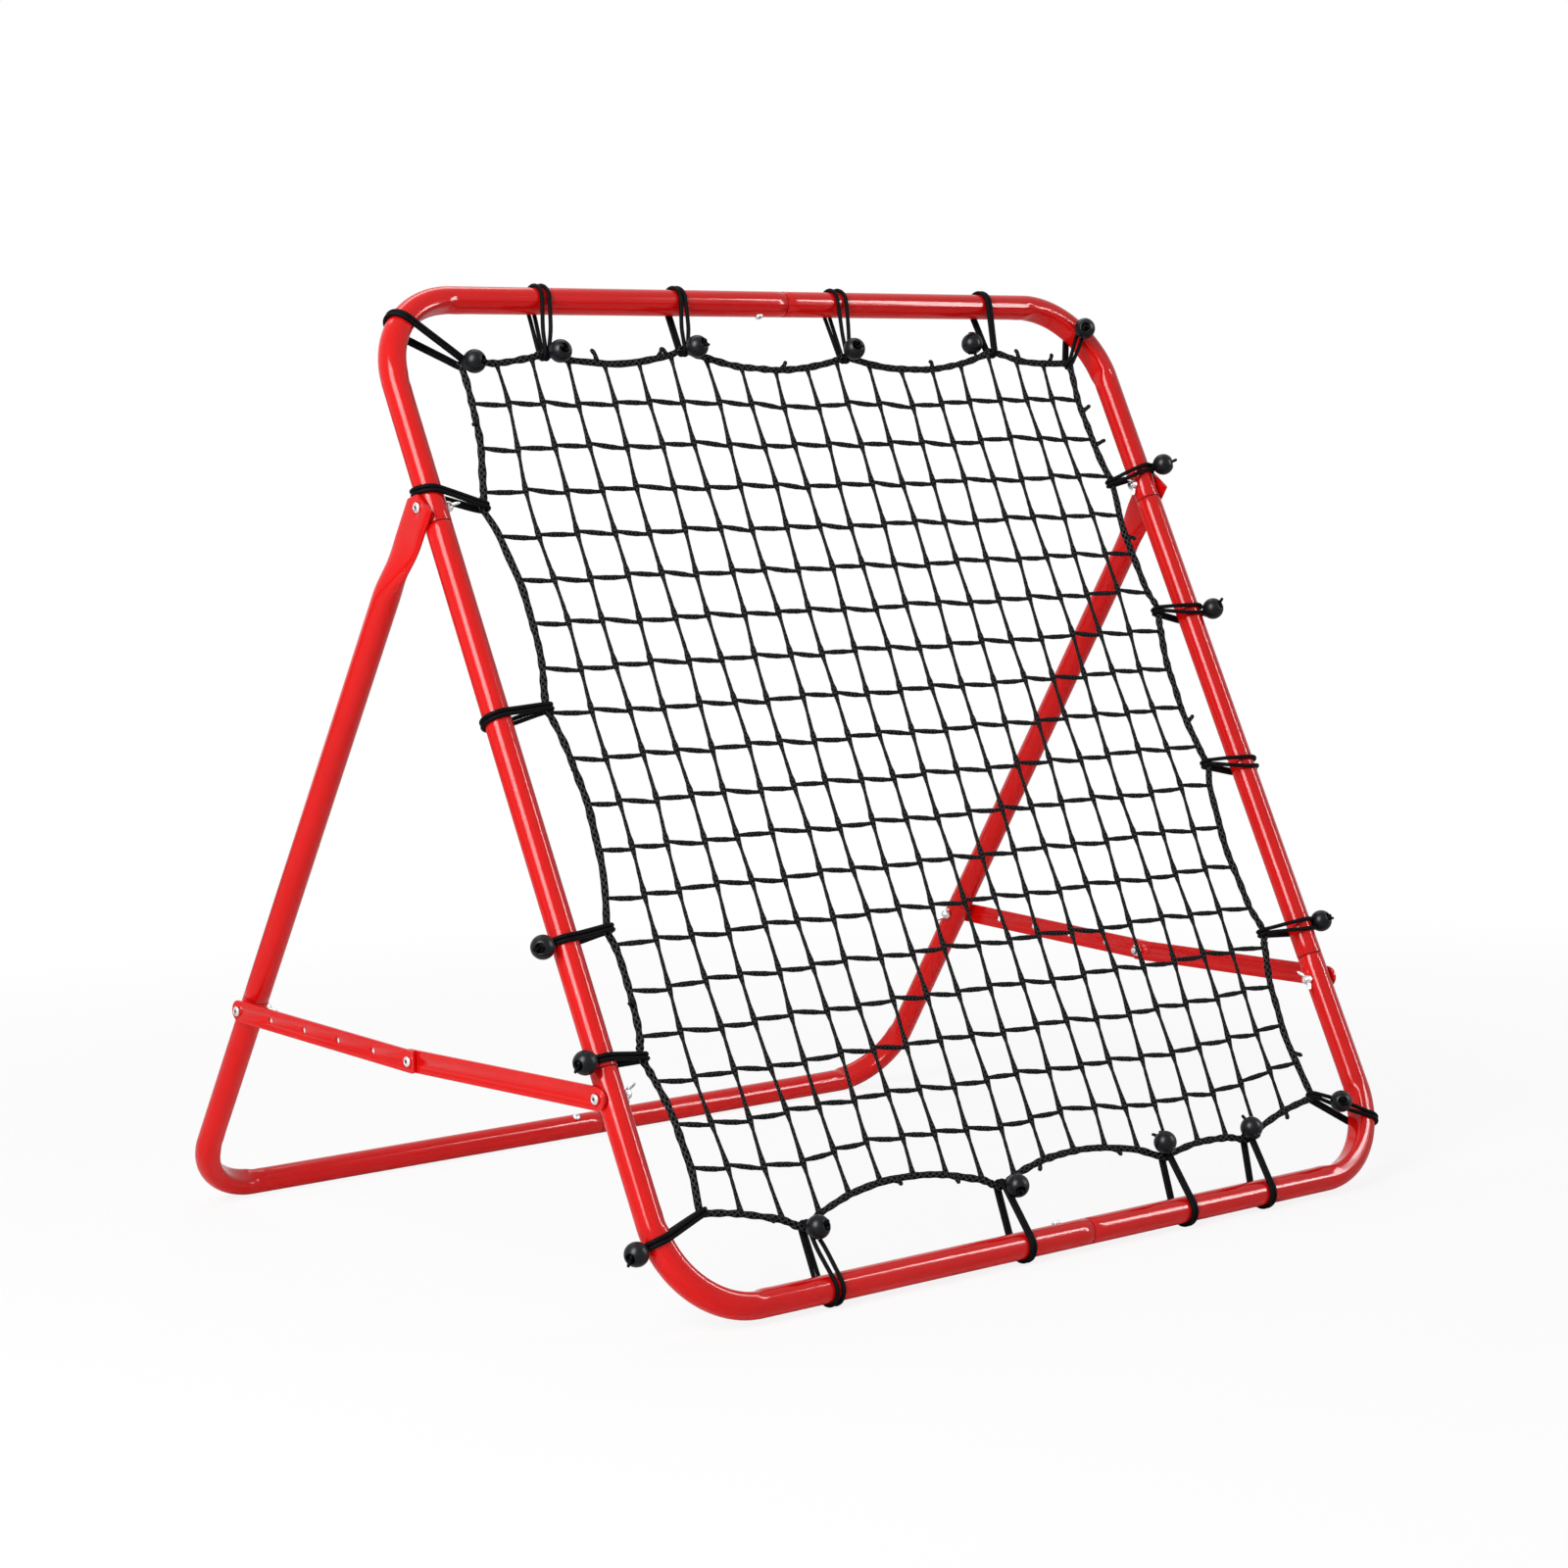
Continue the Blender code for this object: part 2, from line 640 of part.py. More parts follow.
def net_grid():
    """Where the net's knots come to rest between its ties, when a strand's pull grows with its length."""
    count = MESHES + 1
    stiffness = np.zeros((count * count, count * count))
    pull = np.zeros((count * count, 2))

    def index(node):
        return node[0] + node[1] * count

    def strand(first, second, strength):
        i = index(first)
        j = index(second)
        stiffness[i, i] += strength
        stiffness[j, j] += strength
        stiffness[i, j] -= strength
        stiffness[j, i] -= strength

    def hold(weights, point):
        for i, share in weights:
            for j, other in weights:
                stiffness[i, j] += TIE_PULL * share * other
            pull[i] += TIE_PULL * share * np.array(point)

    for row in range(count):
        for column in range(count):
            if column < MESHES:
                on_border = row in (0, MESHES)
                strand((column, row), (column + 1, row), BORDER_PULL if on_border else 1.0)
            if row < MESHES:
                on_border = column in (0, MESHES)
                strand((column, row), (column, row + 1), BORDER_PULL if on_border else 1.0)
    corners = net_corners()
    for name, node in (
        ("top_left", (0, 0)),
        ("top_right", (MESHES, 0)),
        ("bottom_left", (0, MESHES)),
        ("bottom_right", (MESHES, MESHES)),
    ):
        hold([(index(node), 1.0)], corners[name])
    for _, side, line, on_net, _, _, _ in tie_points():
        place = clear_line(line)
        whole = int(place)
        nodes = border_nodes(side)
        share = place - whole
        weights = [(index(nodes[whole]), 1 - share), (index(nodes[whole + 1]), share)]
        hold(weights, on_net)
    solved = np.linalg.solve(stiffness, pull)
    return [[Vector(solved[column + row * count]) for column in range(count)] for row in range(count)]


def half_strand(line):
    return (BORDER_WIDTH if line in (0, MESHES) else STRAND_WIDTH) / 2


def gap_corners(grid, column, row):
    """The four corners of one opening of the net, clockwise from top left, inside its strands."""
    corners = []
    for right, down in ((0, 0), (1, 0), (1, 1), (0, 1)):
        here = grid[row + down][column + right]
        across = (grid[row + down][column + 1 - right] - here).normalized()
        along = (grid[row + 1 - down][column + right] - here).normalized()
        corner = here + across * half_strand(column + right) + along * half_strand(row + down)
        corners.append(corner)
    return corners


def net(grid):
    """The net as one plate with square openings, a wider border and scalloped sides."""
    bm = bmesh.new()
    half = NET_THICKNESS / 2

    def two(point):
        return (bm.verts.new((point.x, point.y, half)), bm.verts.new((point.x, point.y, -half)))

    gaps = {}
    for row in range(MESHES):
        for column in range(MESHES):
            gaps[column, row] = [two(point) for point in gap_corners(grid, column, row)]

    ways = {"top": (0, 1), "bottom": (0, -1), "left": (-1, 0), "right": (1, 0)}
    rim = {}
    for side, way in ways.items():
        for column, row in border_nodes(side):
            rim.setdefault((column, row), Vector((0, 0)))
            rim[column, row] += Vector(way) * BORDER_WIDTH / 2
    rim = {node: two(grid[node[1]][node[0]] + out) for node, out in rim.items()}

    def face(points):
        bm.faces.new([pair[0] for pair in points])
        bm.faces.new([pair[1] for pair in points[::-1]])

    def wall(first, second):
        bm.faces.new((first[0], first[1], second[1], second[0]))

    for corners in gaps.values():
        for k in range(4):
            wall(corners[k], corners[(k + 1) % 4])
    for row in range(MESHES):
        for column in range(MESHES):
            here = gaps[column, row]
            if column:
                left = gaps[column - 1, row]
                face((left[1], here[0], here[3], left[2]))
            if row:
                above = gaps[column, row - 1]
                face((above[3], above[2], here[1], here[0]))
            if column and row:
                corner = gaps[column - 1, row - 1]
                face((corner[2], above[3], here[0], left[1]))
    last = MESHES - 1
    for k in range(MESHES):
        face((rim[k, 0], rim[k + 1, 0], gaps[k, 0][1], gaps[k, 0][0]))
        face((rim[k + 1, MESHES], rim[k, MESHES], gaps[k, last][3], gaps[k, last][2]))
        face((rim[0, k + 1], rim[0, k], gaps[0, k][0], gaps[0, k][3]))
        face((rim[MESHES, k], rim[MESHES, k + 1], gaps[last, k][2], gaps[last, k][1]))
        wall(rim[k + 1, 0], rim[k, 0])
        wall(rim[k, MESHES], rim[k + 1, MESHES])
        wall(rim[0, k], rim[0, k + 1])
        wall(rim[MESHES, k + 1], rim[MESHES, k])
        if k:
            face((rim[k, 0], gaps[k, 0][0], gaps[k - 1, 0][1]))
            face((rim[k, MESHES], gaps[k - 1, last][2], gaps[k, last][3]))
            face((rim[0, k], gaps[0, k - 1][3], gaps[0, k][0]))
            face((rim[MESHES, k], gaps[last, k][1], gaps[last, k - 1][2]))
    return bm


# Ties


def border_way(grid, side, line):
    """The border's direction where a tie holds it."""
    place = clear_line(line)
    nodes = border_nodes(side)
    first = nodes[int(place)]
    second = nodes[int(place) + 1]
    return (grid[second[1]][second[0]] - grid[first[1]][first[0]]).normalized()


def loop_points(on_tube, out, on_net, inwards, reach):
    """The route of one doubled cord: round the tube's outside, and round the net's border to its inside."""
    between = (on_net - on_tube).length
    widest = pi / 2 + asin((LOOP_FLAT - NET_LOOP) / between)
    angles = [-widest]
    for k in range(-TUBE_SIDES // 2, TUBE_SIDES // 2 + 1):
        angle = FRAME_ROLL + FACET * (k + 0.5)
        if abs(angle) < widest - FACET / 4:
            angles.append(angle)
    angles.append(widest)
    rows = []
    for angle in angles:
        spot = on_tube + out * (LOOP_RADIUS * cos(angle))
        rows.append((Vector((spot.x, spot.y, LOOP_RADIUS * sin(angle))), 0))
    for share, height in HOOK_SECTION:
        spot = on_net + inwards * (reach * share)
        rows.append((Vector((spot.x, spot.y, NET_LOOP * height)), 1))
    return rows


def flat_cord(rows, tube_way, net_way):
    """Two cords side by side as one flat closed loop. A row is a point, and 0 at the tube or 1 at the net."""
    half = CORD_DIAMETER / 2
    section = [(across * half, up * half) for across, up in CORD_SECTION]
    ways = (Vector((*tube_way, 0)), Vector((*net_way, 0)))
    rings = []
    for k, (point, end) in enumerate(rows):
        before = (point - rows[k - 1][0]).normalized()
        after = (rows[(k + 1) % len(rows)][0] - point).normalized()
        along = (before + after).normalized()
        wide = ways[end]
        thick = along.cross(wide).normalized()
        wide = thick.cross(along).normalized()
        stretch = 1 / max(before.dot(along), 0.5)
        rings.append([point + wide * across + thick * (up * stretch) for across, up in section])
    return rings_to_bmesh(rings, closed=True)[0]


def ball_place(on_tube, out, on_net, net_way, ball):
    """The middle of a tie's ball, just sunk into the cord."""
    kind, value = ball
    if kind == "net":
        height = BORDER_WIDTH / 2 + GAP + CORD_DIAMETER + BALL_DIAMETER / 2 - BALL_OVERLAP
        spot = on_net + net_way * value
        return Vector((spot.x, spot.y, height))
    if kind == "strand":
        spot = on_net.lerp(on_tube, value)
        height = NET_LOOP * (1 - value) + LOOP_FLAT * value
        height += CORD_DIAMETER / 2 + BALL_DIAMETER / 2 - BALL_OVERLAP
        return Vector((spot.x, spot.y, height))
    angle = radians(value)
    reach = LOOP_REACH + BALL_DIAMETER / 2 - BALL_OVERLAP
    spot = on_tube + out * (reach * cos(angle))
    return Vector((spot.x, spot.y, reach * sin(angle)))


def tie(name, parent, on_tube, out, on_net, inwards, reach, ball, look):
    """One elastic tie: a doubled cord round tube and border, with its ball."""
    tube_way = Vector((out.y, -out.x))
    net_way = Vector((inwards.y, -inwards.x))
    if tube_way.dot(net_way) < 0:
        net_way = -net_way
    bm = flat_cord(loop_points(on_tube, out, on_net, inwards, reach), tube_way, net_way)
    made = solid(name, bm, parent, Matrix.Identity(4), look)
    sphere = bmesh.new()
    radius = BALL_DIAMETER / 2
    bmesh.ops.create_uvsphere(sphere, u_segments=BALL_SIDES, v_segments=BALL_RINGS, radius=radius)
    sideways = Vector((abs(net_way.x), abs(net_way.y)))
    place = ball_place(on_tube, out, on_net, sideways, ball)
    boolean(made, helper(name + "_ball", sphere, parent, Matrix.Translation(place)), "UNION")


def on_bend(centre, turn):
    """The point of a faceted bend at this angle, on its nearest straight, and its outward way."""
    step = 90 / BEND_STEPS
    start = int(turn / step) * step
    first, second = (Vector(point) for point in arc(centre, FRAME_BEND, start, start + step, 1))
    along = (second - first).normalized()
    return first.lerp(second, (turn - start) / step), Vector((along.y, -along.x))


def ties(grid, parent, look):
    for name, side, line, on_net, on_tube, out, ball in tie_points():
        along = border_way(grid, side, line)
        inwards = Vector((along.y, -along.x))
        if inwards.dot(out) > 0:
            inwards = -inwards
        tie(name, parent, on_tube, out, on_net, inwards, NET_LOOP, ball, look)
    corners = net_corners()
    for name, (_, _, turn, ball) in CORNER_TIES.items():
        x = HALF_WIDTH - FRAME_BEND
        height = FRAME_HEIGHT - FRAME_BEND if "top" in name else FRAME_BEND
        on_tube, out = on_bend((x if "right" in name else -x, height), turn)
        column = MESHES if "right" in name else 0
        row = 0 if "top" in name else MESHES
        across = (grid[row][abs(column - 1)] - corners[name]).normalized()
        down = (grid[abs(row - 1)][column] - corners[name]).normalized()
        inwards = (across + down).normalized()
        half = acos(inwards.dot(across))
        reach = BORDER_WIDTH / 2 / sin(half) + CORD_DIAMETER / tan(half) + GAP + CORD_DIAMETER / 2
        tie(f"tie_{name}", parent, on_tube, out, corners[name], inwards, reach, ball, look)


# Where the stand goes, in the upright plane across the part
FRAME_UP = Vector((0, sin(FRAME_LEAN), cos(FRAME_LEAN)))
FRAME_PLACE = Vector((0, 0, FRAME_AXIS_HEIGHT))
PIVOT = FRAME_PLACE + FRAME_UP * PIVOT_HEIGHT
FOOT = Vector((0, STAND_DEPTH, STAND_AXIS_HEIGHT))
LEG_LENGTH = (FOOT - PIVOT).length
LEG_DOWN = (FOOT - PIVOT).normalized()
STAND_LEAN = acos(-LEG_DOWN.z)
FRAME_ROLL = -FRAME_LEAN
STAND_ROLL = -STAND_LEAN
REAR_BOLT_DISTANCE = LEG_LENGTH - STAND_CORNER_RISE + REAR_BOLT_BELOW_SEAM
FRONT_BOLT = FRAME_PLACE + FRAME_UP * FRONT_BOLT_HEIGHT
REAR_BOLT = PIVOT + LEG_DOWN * REAR_BOLT_DISTANCE

# The adjusting bolt is in the last hole of the rear strip, just under the line between the other two bolts
REAR_STRIP_LENGTH = HOLE_PITCH * HOLE_COUNT
STRAIGHT = FRONT_BOLT - REAR_BOLT
REAR_STRIP_ANGLE = atan2(STRAIGHT.z, STRAIGHT.y) + STRIP_SAG
ADJUSTING_BOLT = REAR_BOLT + REAR_STRIP_LENGTH * Vector((0, cos(REAR_STRIP_ANGLE), sin(REAR_STRIP_ANGLE)))
FRONT_STRIP = ADJUSTING_BOLT - FRONT_BOLT
FRONT_STRIP_LENGTH = FRONT_STRIP.length
FRONT_STRIP_ANGLE = atan2(FRONT_STRIP.z, FRONT_STRIP.y)

# The strips stand off the tubes by these distances from an upright's axis, and slope outwards in plan
FRONT_STRIP_OUT = TUBE_RADIUS + FRONT_STRIP_GAP + STRIP_THICKNESS / 2
REAR_STRIP_OUT = STAND_OFFSET + TUBE_RADIUS + REAR_STRIP_GAP + STRIP_THICKNESS / 2
STRIP_STEP = STRIP_THICKNESS + STRIP_GAP
STRIP_TILT = asin((REAR_STRIP_OUT - FRONT_STRIP_OUT - STRIP_STEP) / (FRONT_STRIP_LENGTH + REAR_STRIP_LENGTH))


def build_front_frame(frame, red):
    """Four corner pieces with sockets, two uprights that slide into them, and their bolt holes."""
    pieces = {}
    for top in (True, False):
        for right in (True, False):
            name = f"frame_{'top' if top else 'bottom'}_{'right' if right else 'left'}"
            points = clockwise(frame_corner(top, right), right, top)
            at_start = right and points[0][0] < points[-1][0]
            bm = pipe(points, FRAME_ROLL, spigot_start=at_start, spigot_end=right and not at_start)
            pieces[name] = solid(name, bm, frame, Matrix.Identity(4), red)
    for side, sign in SIDES.items():
        x = sign * HALF_WIDTH
        ends = [(x, CORNER_RISE + GAP), (x, UPPER_SEAM - GAP)]
        points = ends[::-1] if side == "left" else ends
        bm = pipe(points, FRAME_ROLL, spigot_start=True, spigot_end=True)
        upright = solid(f"upright_{side}", bm, frame, Matrix.Identity(4), red)
        reach = TUBE_RADIUS + GAP
        for corner, height in (("top", PIVOT_HEIGHT), ("bottom", FRONT_BOLT_HEIGHT)):
            hole = bolt_hole(f"{corner}_bolt_hole_{side}", frame, side, height, reach)
            boolean(upright, hole, "DIFFERENCE")
            boolean(pieces[f"frame_{corner}_{side}"], hole, "DIFFERENCE")
    for row, height, seam, turn in (
        ("top", FRAME_HEIGHT, TOP_SEAM, Matrix.Rotation(pi / 2, 4, "X")),
        ("bottom", 0.0, BOTTOM_SEAM, Matrix.Rotation(-pi / 2, 4, "X")),
    ):
        place = (seam - SCREW_FROM_SEAM, height, 0)
        hole = screw_hole(f"{row}_screw_hole", frame, place, turn)
        boolean(pieces[f"frame_{row}_left"], hole, "DIFFERENCE")
        boolean(pieces[f"frame_{row}_right"], hole, "DIFFERENCE")


def build_stand(stand, red):
    """Two crushed legs and two rear corner pieces."""
    pieces = {}
    for side, right in (("left", False), ("right", True)):
        points = clockwise(stand_corner(right), right, True)
        at_start = right and points[0][0] < points[-1][0]
        bm = pipe(points, STAND_ROLL, spigot_start=at_start, spigot_end=right and not at_start)
        pieces[side] = solid(f"stand_corner_{side}", bm, stand, Matrix.Identity(4), red)
        made = solid(f"stand_leg_{side}", leg(side), stand, Matrix.Identity(4), red)
        pivot = bolt_hole(f"plate_hole_{side}", stand, side, 0, 2 * TUBE_DIAMETER)
        boolean(made, pivot, "DIFFERENCE")
        rear = bolt_hole(f"rear_hole_{side}", stand, side, REAR_BOLT_DISTANCE, 2 * TUBE_DIAMETER)
        boolean(made, rear, "DIFFERENCE")
        boolean(pieces[side], rear, "DIFFERENCE")
    place = (STAND_SEAM - SCREW_FROM_SEAM, LEG_LENGTH, 0)
    hole = screw_hole("rear_screw_hole", stand, place, Matrix.Rotation(pi / 2, 4, "X"))
    for piece in pieces.values():
        boolean(piece, hole, "DIFFERENCE")


def build_struts(origin, red, zinc):
    """Front and rear strips with their adjusting bolts, each under an empty on its own bolt's axis."""
    adjusting_gap = STRIP_STEP - STRIP_THICKNESS
    for side, sign in SIDES.items():
        front_turn = Matrix.Rotation(FRONT_STRIP_ANGLE, 4, "X")
        front_place = FRONT_BOLT + Vector((sign * (HALF_WIDTH + FRONT_STRIP_OUT), 0, 0))
        front = empty(f"strut_front_{side}", origin, front_place, front_turn)
        ends = (0, FRONT_STRIP_LENGTH)
        strip_piece(f"strip_front_{side}", front, -sign * STRIP_TILT, FRONT_STRIP_LENGTH, ends, red)
        rear_turn = Matrix.Rotation(REAR_STRIP_ANGLE, 4, "X")
        rear_place = REAR_BOLT + Vector((sign * (HALF_WIDTH + REAR_STRIP_OUT), 0, 0))
        rear = empty(f"strut_rear_{side}", origin, rear_place, rear_turn)
        holes = [HOLE_PITCH * k for k in range(HOLE_COUNT + 1)]
        strip_piece(f"strip_rear_{side}", rear, sign * STRIP_TILT, REAR_STRIP_LENGTH, holes, red)

        tilt_front = Matrix.Rotation(-sign * STRIP_TILT, 4, "Z")
        tilt_rear = Matrix.Rotation(sign * STRIP_TILT, 4, "Z")
        seat = STRIP_THICKNESS / 2 + GAP
        through = STRIP_THICKNESS + GAP + adjusting_gap / 2 - GAP / 2
        nut_place = tilt_front @ Matrix.Translation((-sign * seat, FRONT_STRIP_LENGTH, 0))
        nut_turn = outwards("left" if side == "right" else "right")
        solid(f"lock_nut_{side}", lock_nut(through), front, nut_place @ nut_turn, zinc)
        head_place = tilt_rear @ Matrix.Translation((sign * seat, REAR_STRIP_LENGTH, 0)) @ outwards(side)
        solid(f"adjusting_bolt_{side}", bolt(through), rear, head_place, zinc)


def build_fasteners(frame, stand, zinc):
    """Pivot, strut and rear bolts with their wing nuts, and the three seam screws."""
    nut_room = GAP + HUB_HEIGHT + BOLT_PAST_NUT
    for side, sign in SIDES.items():
        rows = (
            ("pivot", frame, PIVOT_HEIGHT, 0.0, PLATE_THICKNESS + 2 * GAP),
            ("strut", frame, FRONT_BOLT_HEIGHT, 0.0, FRONT_STRIP_GAP + STRIP_THICKNESS + 2 * GAP),
            ("rear", stand, REAR_BOLT_DISTANCE, STAND_OFFSET, REAR_STRIP_GAP + STRIP_THICKNESS + 2 * GAP),
        )
        for name, parent, along, offset, stack in rows:
            axis = HALF_WIDTH + offset
            under_head = axis + TUBE_RADIUS + stack
            length = TUBE_DIAMETER + stack + nut_room
            place = Matrix.Translation((sign * under_head, along, 0)) @ outwards(side)
            solid(f"{name}_bolt_{side}", bolt(length), parent, place, zinc)
            seat = axis - TUBE_RADIUS - GAP
            spin = sign * WING_SPINS[name]
            wing_nut(f"wing_nut_{name}_{side}", parent, side, along, seat, spin, zinc)
    reach = TUBE_RADIUS + GAP
    rows = (
        ("screw_top", frame, (TOP_SEAM - SCREW_FROM_SEAM, FRAME_HEIGHT - reach, 0), pi / 2),
        ("screw_bottom", frame, (BOTTOM_SEAM - SCREW_FROM_SEAM, reach, 0), -pi / 2),
        ("screw_rear", stand, (STAND_SEAM - SCREW_FROM_SEAM, LEG_LENGTH - reach, 0), pi / 2),
    )
    for name, parent, place, turn in rows:
        matrix = Matrix.Translation(place) @ Matrix.Rotation(turn, 4, "X")
        solid(name, seam_screw(), parent, matrix, zinc)


def centre_on_ground(origin):
    """Moves everything so that the origin is under the middle of the part."""
    bpy.context.view_layer.update()
    graph = bpy.context.evaluated_depsgraph_get()
    low = Vector((1e9, 1e9, 1e9))
    high = -low
    for thing in bpy.data.objects:
        if thing.type != "MESH" or thing.hide_render:
            continue
        shape = thing.evaluated_get(graph).to_mesh()
        for vertex in shape.vertices:
            point = thing.matrix_world @ vertex.co
            low = Vector(map(min, low, point))
            high = Vector(map(max, high, point))
    middle = (low + high) / 2
    origin.location -= Vector((middle.x, middle.y, low.z))
    bpy.context.view_layer.update()


def main():
    clear_scene()
    red = material("red_coat", RED, 0.22, 0.0)
    zinc = material("zinc", ZINC, 0.35, 1.0)
    cord = material("black_cord", BLACK_CORD, 0.55, 0.0)
    twine = material("black_net", BLACK_NET, 0.8, 0.0)

    origin = empty("rebounder", None, Vector((0, 0, 0)))
    frame = empty("front_frame", origin, FRAME_PLACE, Matrix.Rotation(pi / 2 - FRAME_LEAN, 4, "X"))
    stand = empty("rear_stand", origin, PIVOT, Matrix.Rotation(STAND_LEAN - pi / 2, 4, "X"))

    build_front_frame(frame, red)
    build_stand(stand, red)
    build_struts(origin, red, zinc)
    build_fasteners(frame, stand, zinc)
    grid = net_grid()
    solid("net", net(grid), frame, Matrix.Identity(4), twine)
    ties(grid, frame, cord)
    centre_on_ground(origin)


main()
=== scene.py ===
"""Looks of the football rebounder: red coated tube, zinc-plated fasteners, a black net and its elastic ties.

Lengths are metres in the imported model's frame. Places in the front frame are given as x, height along the
uprights and distance in front of the net, and places in the stand as x, distance down the legs and distance
behind them.
"""

from collections import namedtuple
from math import cos, pi, radians, sin

import bpy
import numpy as np
from mathutils import Matrix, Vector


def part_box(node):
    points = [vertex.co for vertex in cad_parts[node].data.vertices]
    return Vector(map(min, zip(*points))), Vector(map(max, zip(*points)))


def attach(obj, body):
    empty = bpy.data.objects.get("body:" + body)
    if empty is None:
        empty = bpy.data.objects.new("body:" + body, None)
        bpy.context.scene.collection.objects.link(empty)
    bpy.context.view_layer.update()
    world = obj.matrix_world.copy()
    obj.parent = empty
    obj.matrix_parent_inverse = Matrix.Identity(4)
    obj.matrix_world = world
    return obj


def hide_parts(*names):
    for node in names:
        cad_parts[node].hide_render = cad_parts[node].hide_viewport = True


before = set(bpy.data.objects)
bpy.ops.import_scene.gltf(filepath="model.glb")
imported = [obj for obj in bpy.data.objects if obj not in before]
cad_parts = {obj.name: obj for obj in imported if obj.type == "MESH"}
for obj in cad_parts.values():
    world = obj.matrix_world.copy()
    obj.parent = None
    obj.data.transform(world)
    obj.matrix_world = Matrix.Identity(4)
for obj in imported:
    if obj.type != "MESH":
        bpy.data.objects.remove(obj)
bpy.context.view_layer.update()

# Tube and frame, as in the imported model
TUBE_RADIUS = 0.0125
BORE_RADIUS = 0.0113
SPIGOT_RADIUS = 0.011
SPIGOT_BORE = 0.0098
SOCKET_DEPTH = 0.045
NECK_LENGTH = 0.004
SEAM_GAP = 0.0003
HALF_WIDTH = 0.4385
FRAME_HEIGHT = 0.955
FRAME_BEND = 0.085
FRAME_LEAN = radians(25.5)
CORNER_RISE = 0.223
UPPER_SEAM = FRAME_HEIGHT - CORNER_RISE
TOP_SEAM = 0.032
BOTTOM_SEAM = 0.029
FRAME_PLACE = np.array((0.0, -0.39285, 0.015874))

# Stand
PIVOT = np.array((0.0, -0.070311, 0.692091))
STAND_LEAN = radians(34.477)
LEG_LENGTH = 0.824909
STAND_HALF_WIDTH = HALF_WIDTH + 0.0188
STAND_OUT = STAND_HALF_WIDTH - HALF_WIDTH
STAND_BEND = 0.070
STAND_CORNER_RISE = 0.261
STAND_SEAM = 0.044
LEG_END = LEG_LENGTH - STAND_CORNER_RISE - SEAM_GAP

X_WAY = np.array((1.0, 0.0, 0.0))
FRAME_WAYS = np.array((X_WAY, (0, sin(FRAME_LEAN), cos(FRAME_LEAN)), (0, -cos(FRAME_LEAN), sin(FRAME_LEAN))))
STAND_WAYS = np.array((X_WAY, (0, sin(STAND_LEAN), -cos(STAND_LEAN)), (0, cos(STAND_LEAN), sin(STAND_LEAN))))
SIDES = {"left": -1, "right": 1}


def in_frame(points):
    """From x, height and distance in front of the net to the model's frame."""
    return FRAME_PLACE + np.asarray(points) @ FRAME_WAYS


def in_stand(points):
    """From x, distance down the leg and distance behind it to the model's frame."""
    return PIVOT + np.asarray(points) @ STAND_WAYS


# Mesh code

# A direction that no axis here lies along
SLANT = (0.31, 0.52, 0.79)


class Patch:
    """Closed rings of points, each joined to the next by faces, with caps or joined round to the first ring.

    UV is the share of the way round and the distance along, in metres.
    """

    def __init__(self, points, along=False, look=0):
        points = np.asarray(points, float)
        if points.ndim == 3:
            points = points[None]
        many, rings, sides, _ = points.shape
        self.points = points.reshape(-1, 3)
        self.look = look
        index = np.arange(many * rings * sides).reshape(many, rings, sides)
        steps = np.linalg.norm(np.diff(points.mean(axis=2), axis=1), axis=2)
        lengths = np.concatenate([np.zeros((many, 1)), np.cumsum(steps, axis=1)], axis=1)
        if along:
            index = np.concatenate([index, index[:, :1]], axis=1)
            lengths = np.concatenate([lengths, 2 * lengths[:, -1:] - lengths[:, -2:-1]], axis=1)
        index = np.concatenate([index, index[:, :, :1]], axis=2)
        share = np.arange(sides + 1) / sides
        grid = np.stack(np.broadcast_arrays(share[None, None, :], lengths[:, :, None]), axis=-1)
        self.quads = np.stack(self.corners(index), axis=-1).reshape(-1, 4)
        self.uv = np.stack(self.corners(grid), axis=3).reshape(-1, 4, 2)
        self.caps = []
        self.cap_uv = []
        if not along:
            ring = index[:, :, :sides]
            for k in range(many):
                self.caps += [ring[k, 0][::-1].tolist(), ring[k, -1].tolist()]
                self.cap_uv += [np.repeat([[0.5, lengths[k, end]]], sides, axis=0) for end in (0, -1)]

    @staticmethod
    def corners(grid):
        """Values of a grid at the four corners of its faces."""
        return grid[:, :-1, :-1], grid[:, :-1, 1:], grid[:, 1:, 1:], grid[:, 1:, :-1]


def piece(name, patches, looks, body, nodes=(), sharp=40):
    """Joins the patches into one mesh piece that rides on a body and stands for some CAD nodes."""
    start = 0
    points, quads, caps, uvs, cap_uvs, quad_looks, cap_looks = [], [], [], [], [], [], []
    for patch in patches:
        points.append(patch.points)
        quads.append(patch.quads + start)
        caps += [[corner + start for corner in cap] for cap in patch.caps]
        uvs.append(patch.uv.reshape(-1, 2))
        cap_uvs += patch.cap_uv
        quad_looks += [patch.look] * len(patch.quads)
        cap_looks += [patch.look] * len(patch.caps)
        start += len(patch.points)
    mesh = bpy.data.meshes.new(name)
    mesh.from_pydata(np.concatenate(points).tolist(), [], np.concatenate(quads).tolist() + caps)
    layer = mesh.uv_layers.new(name="UVMap")
    layer.data.foreach_set("uv", np.concatenate(uvs + cap_uvs).astype(np.float32).ravel())
    for look in looks:
        mesh.materials.append(look)
    mesh.polygons.foreach_set("material_index", np.array(quad_looks + cap_looks, np.int32))
    mesh.shade_smooth()
    mesh.set_sharp_from_angle(angle=radians(sharp))
    made = bpy.data.objects.new(name, mesh)
    bpy.context.scene.collection.objects.link(made)
    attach(made, body)
    if nodes:
        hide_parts(*nodes)
    return made


def unit(vectors):
    """Vectors of length 1 along the ones given."""
    return vectors / np.linalg.norm(vectors, axis=-1, keepdims=True)


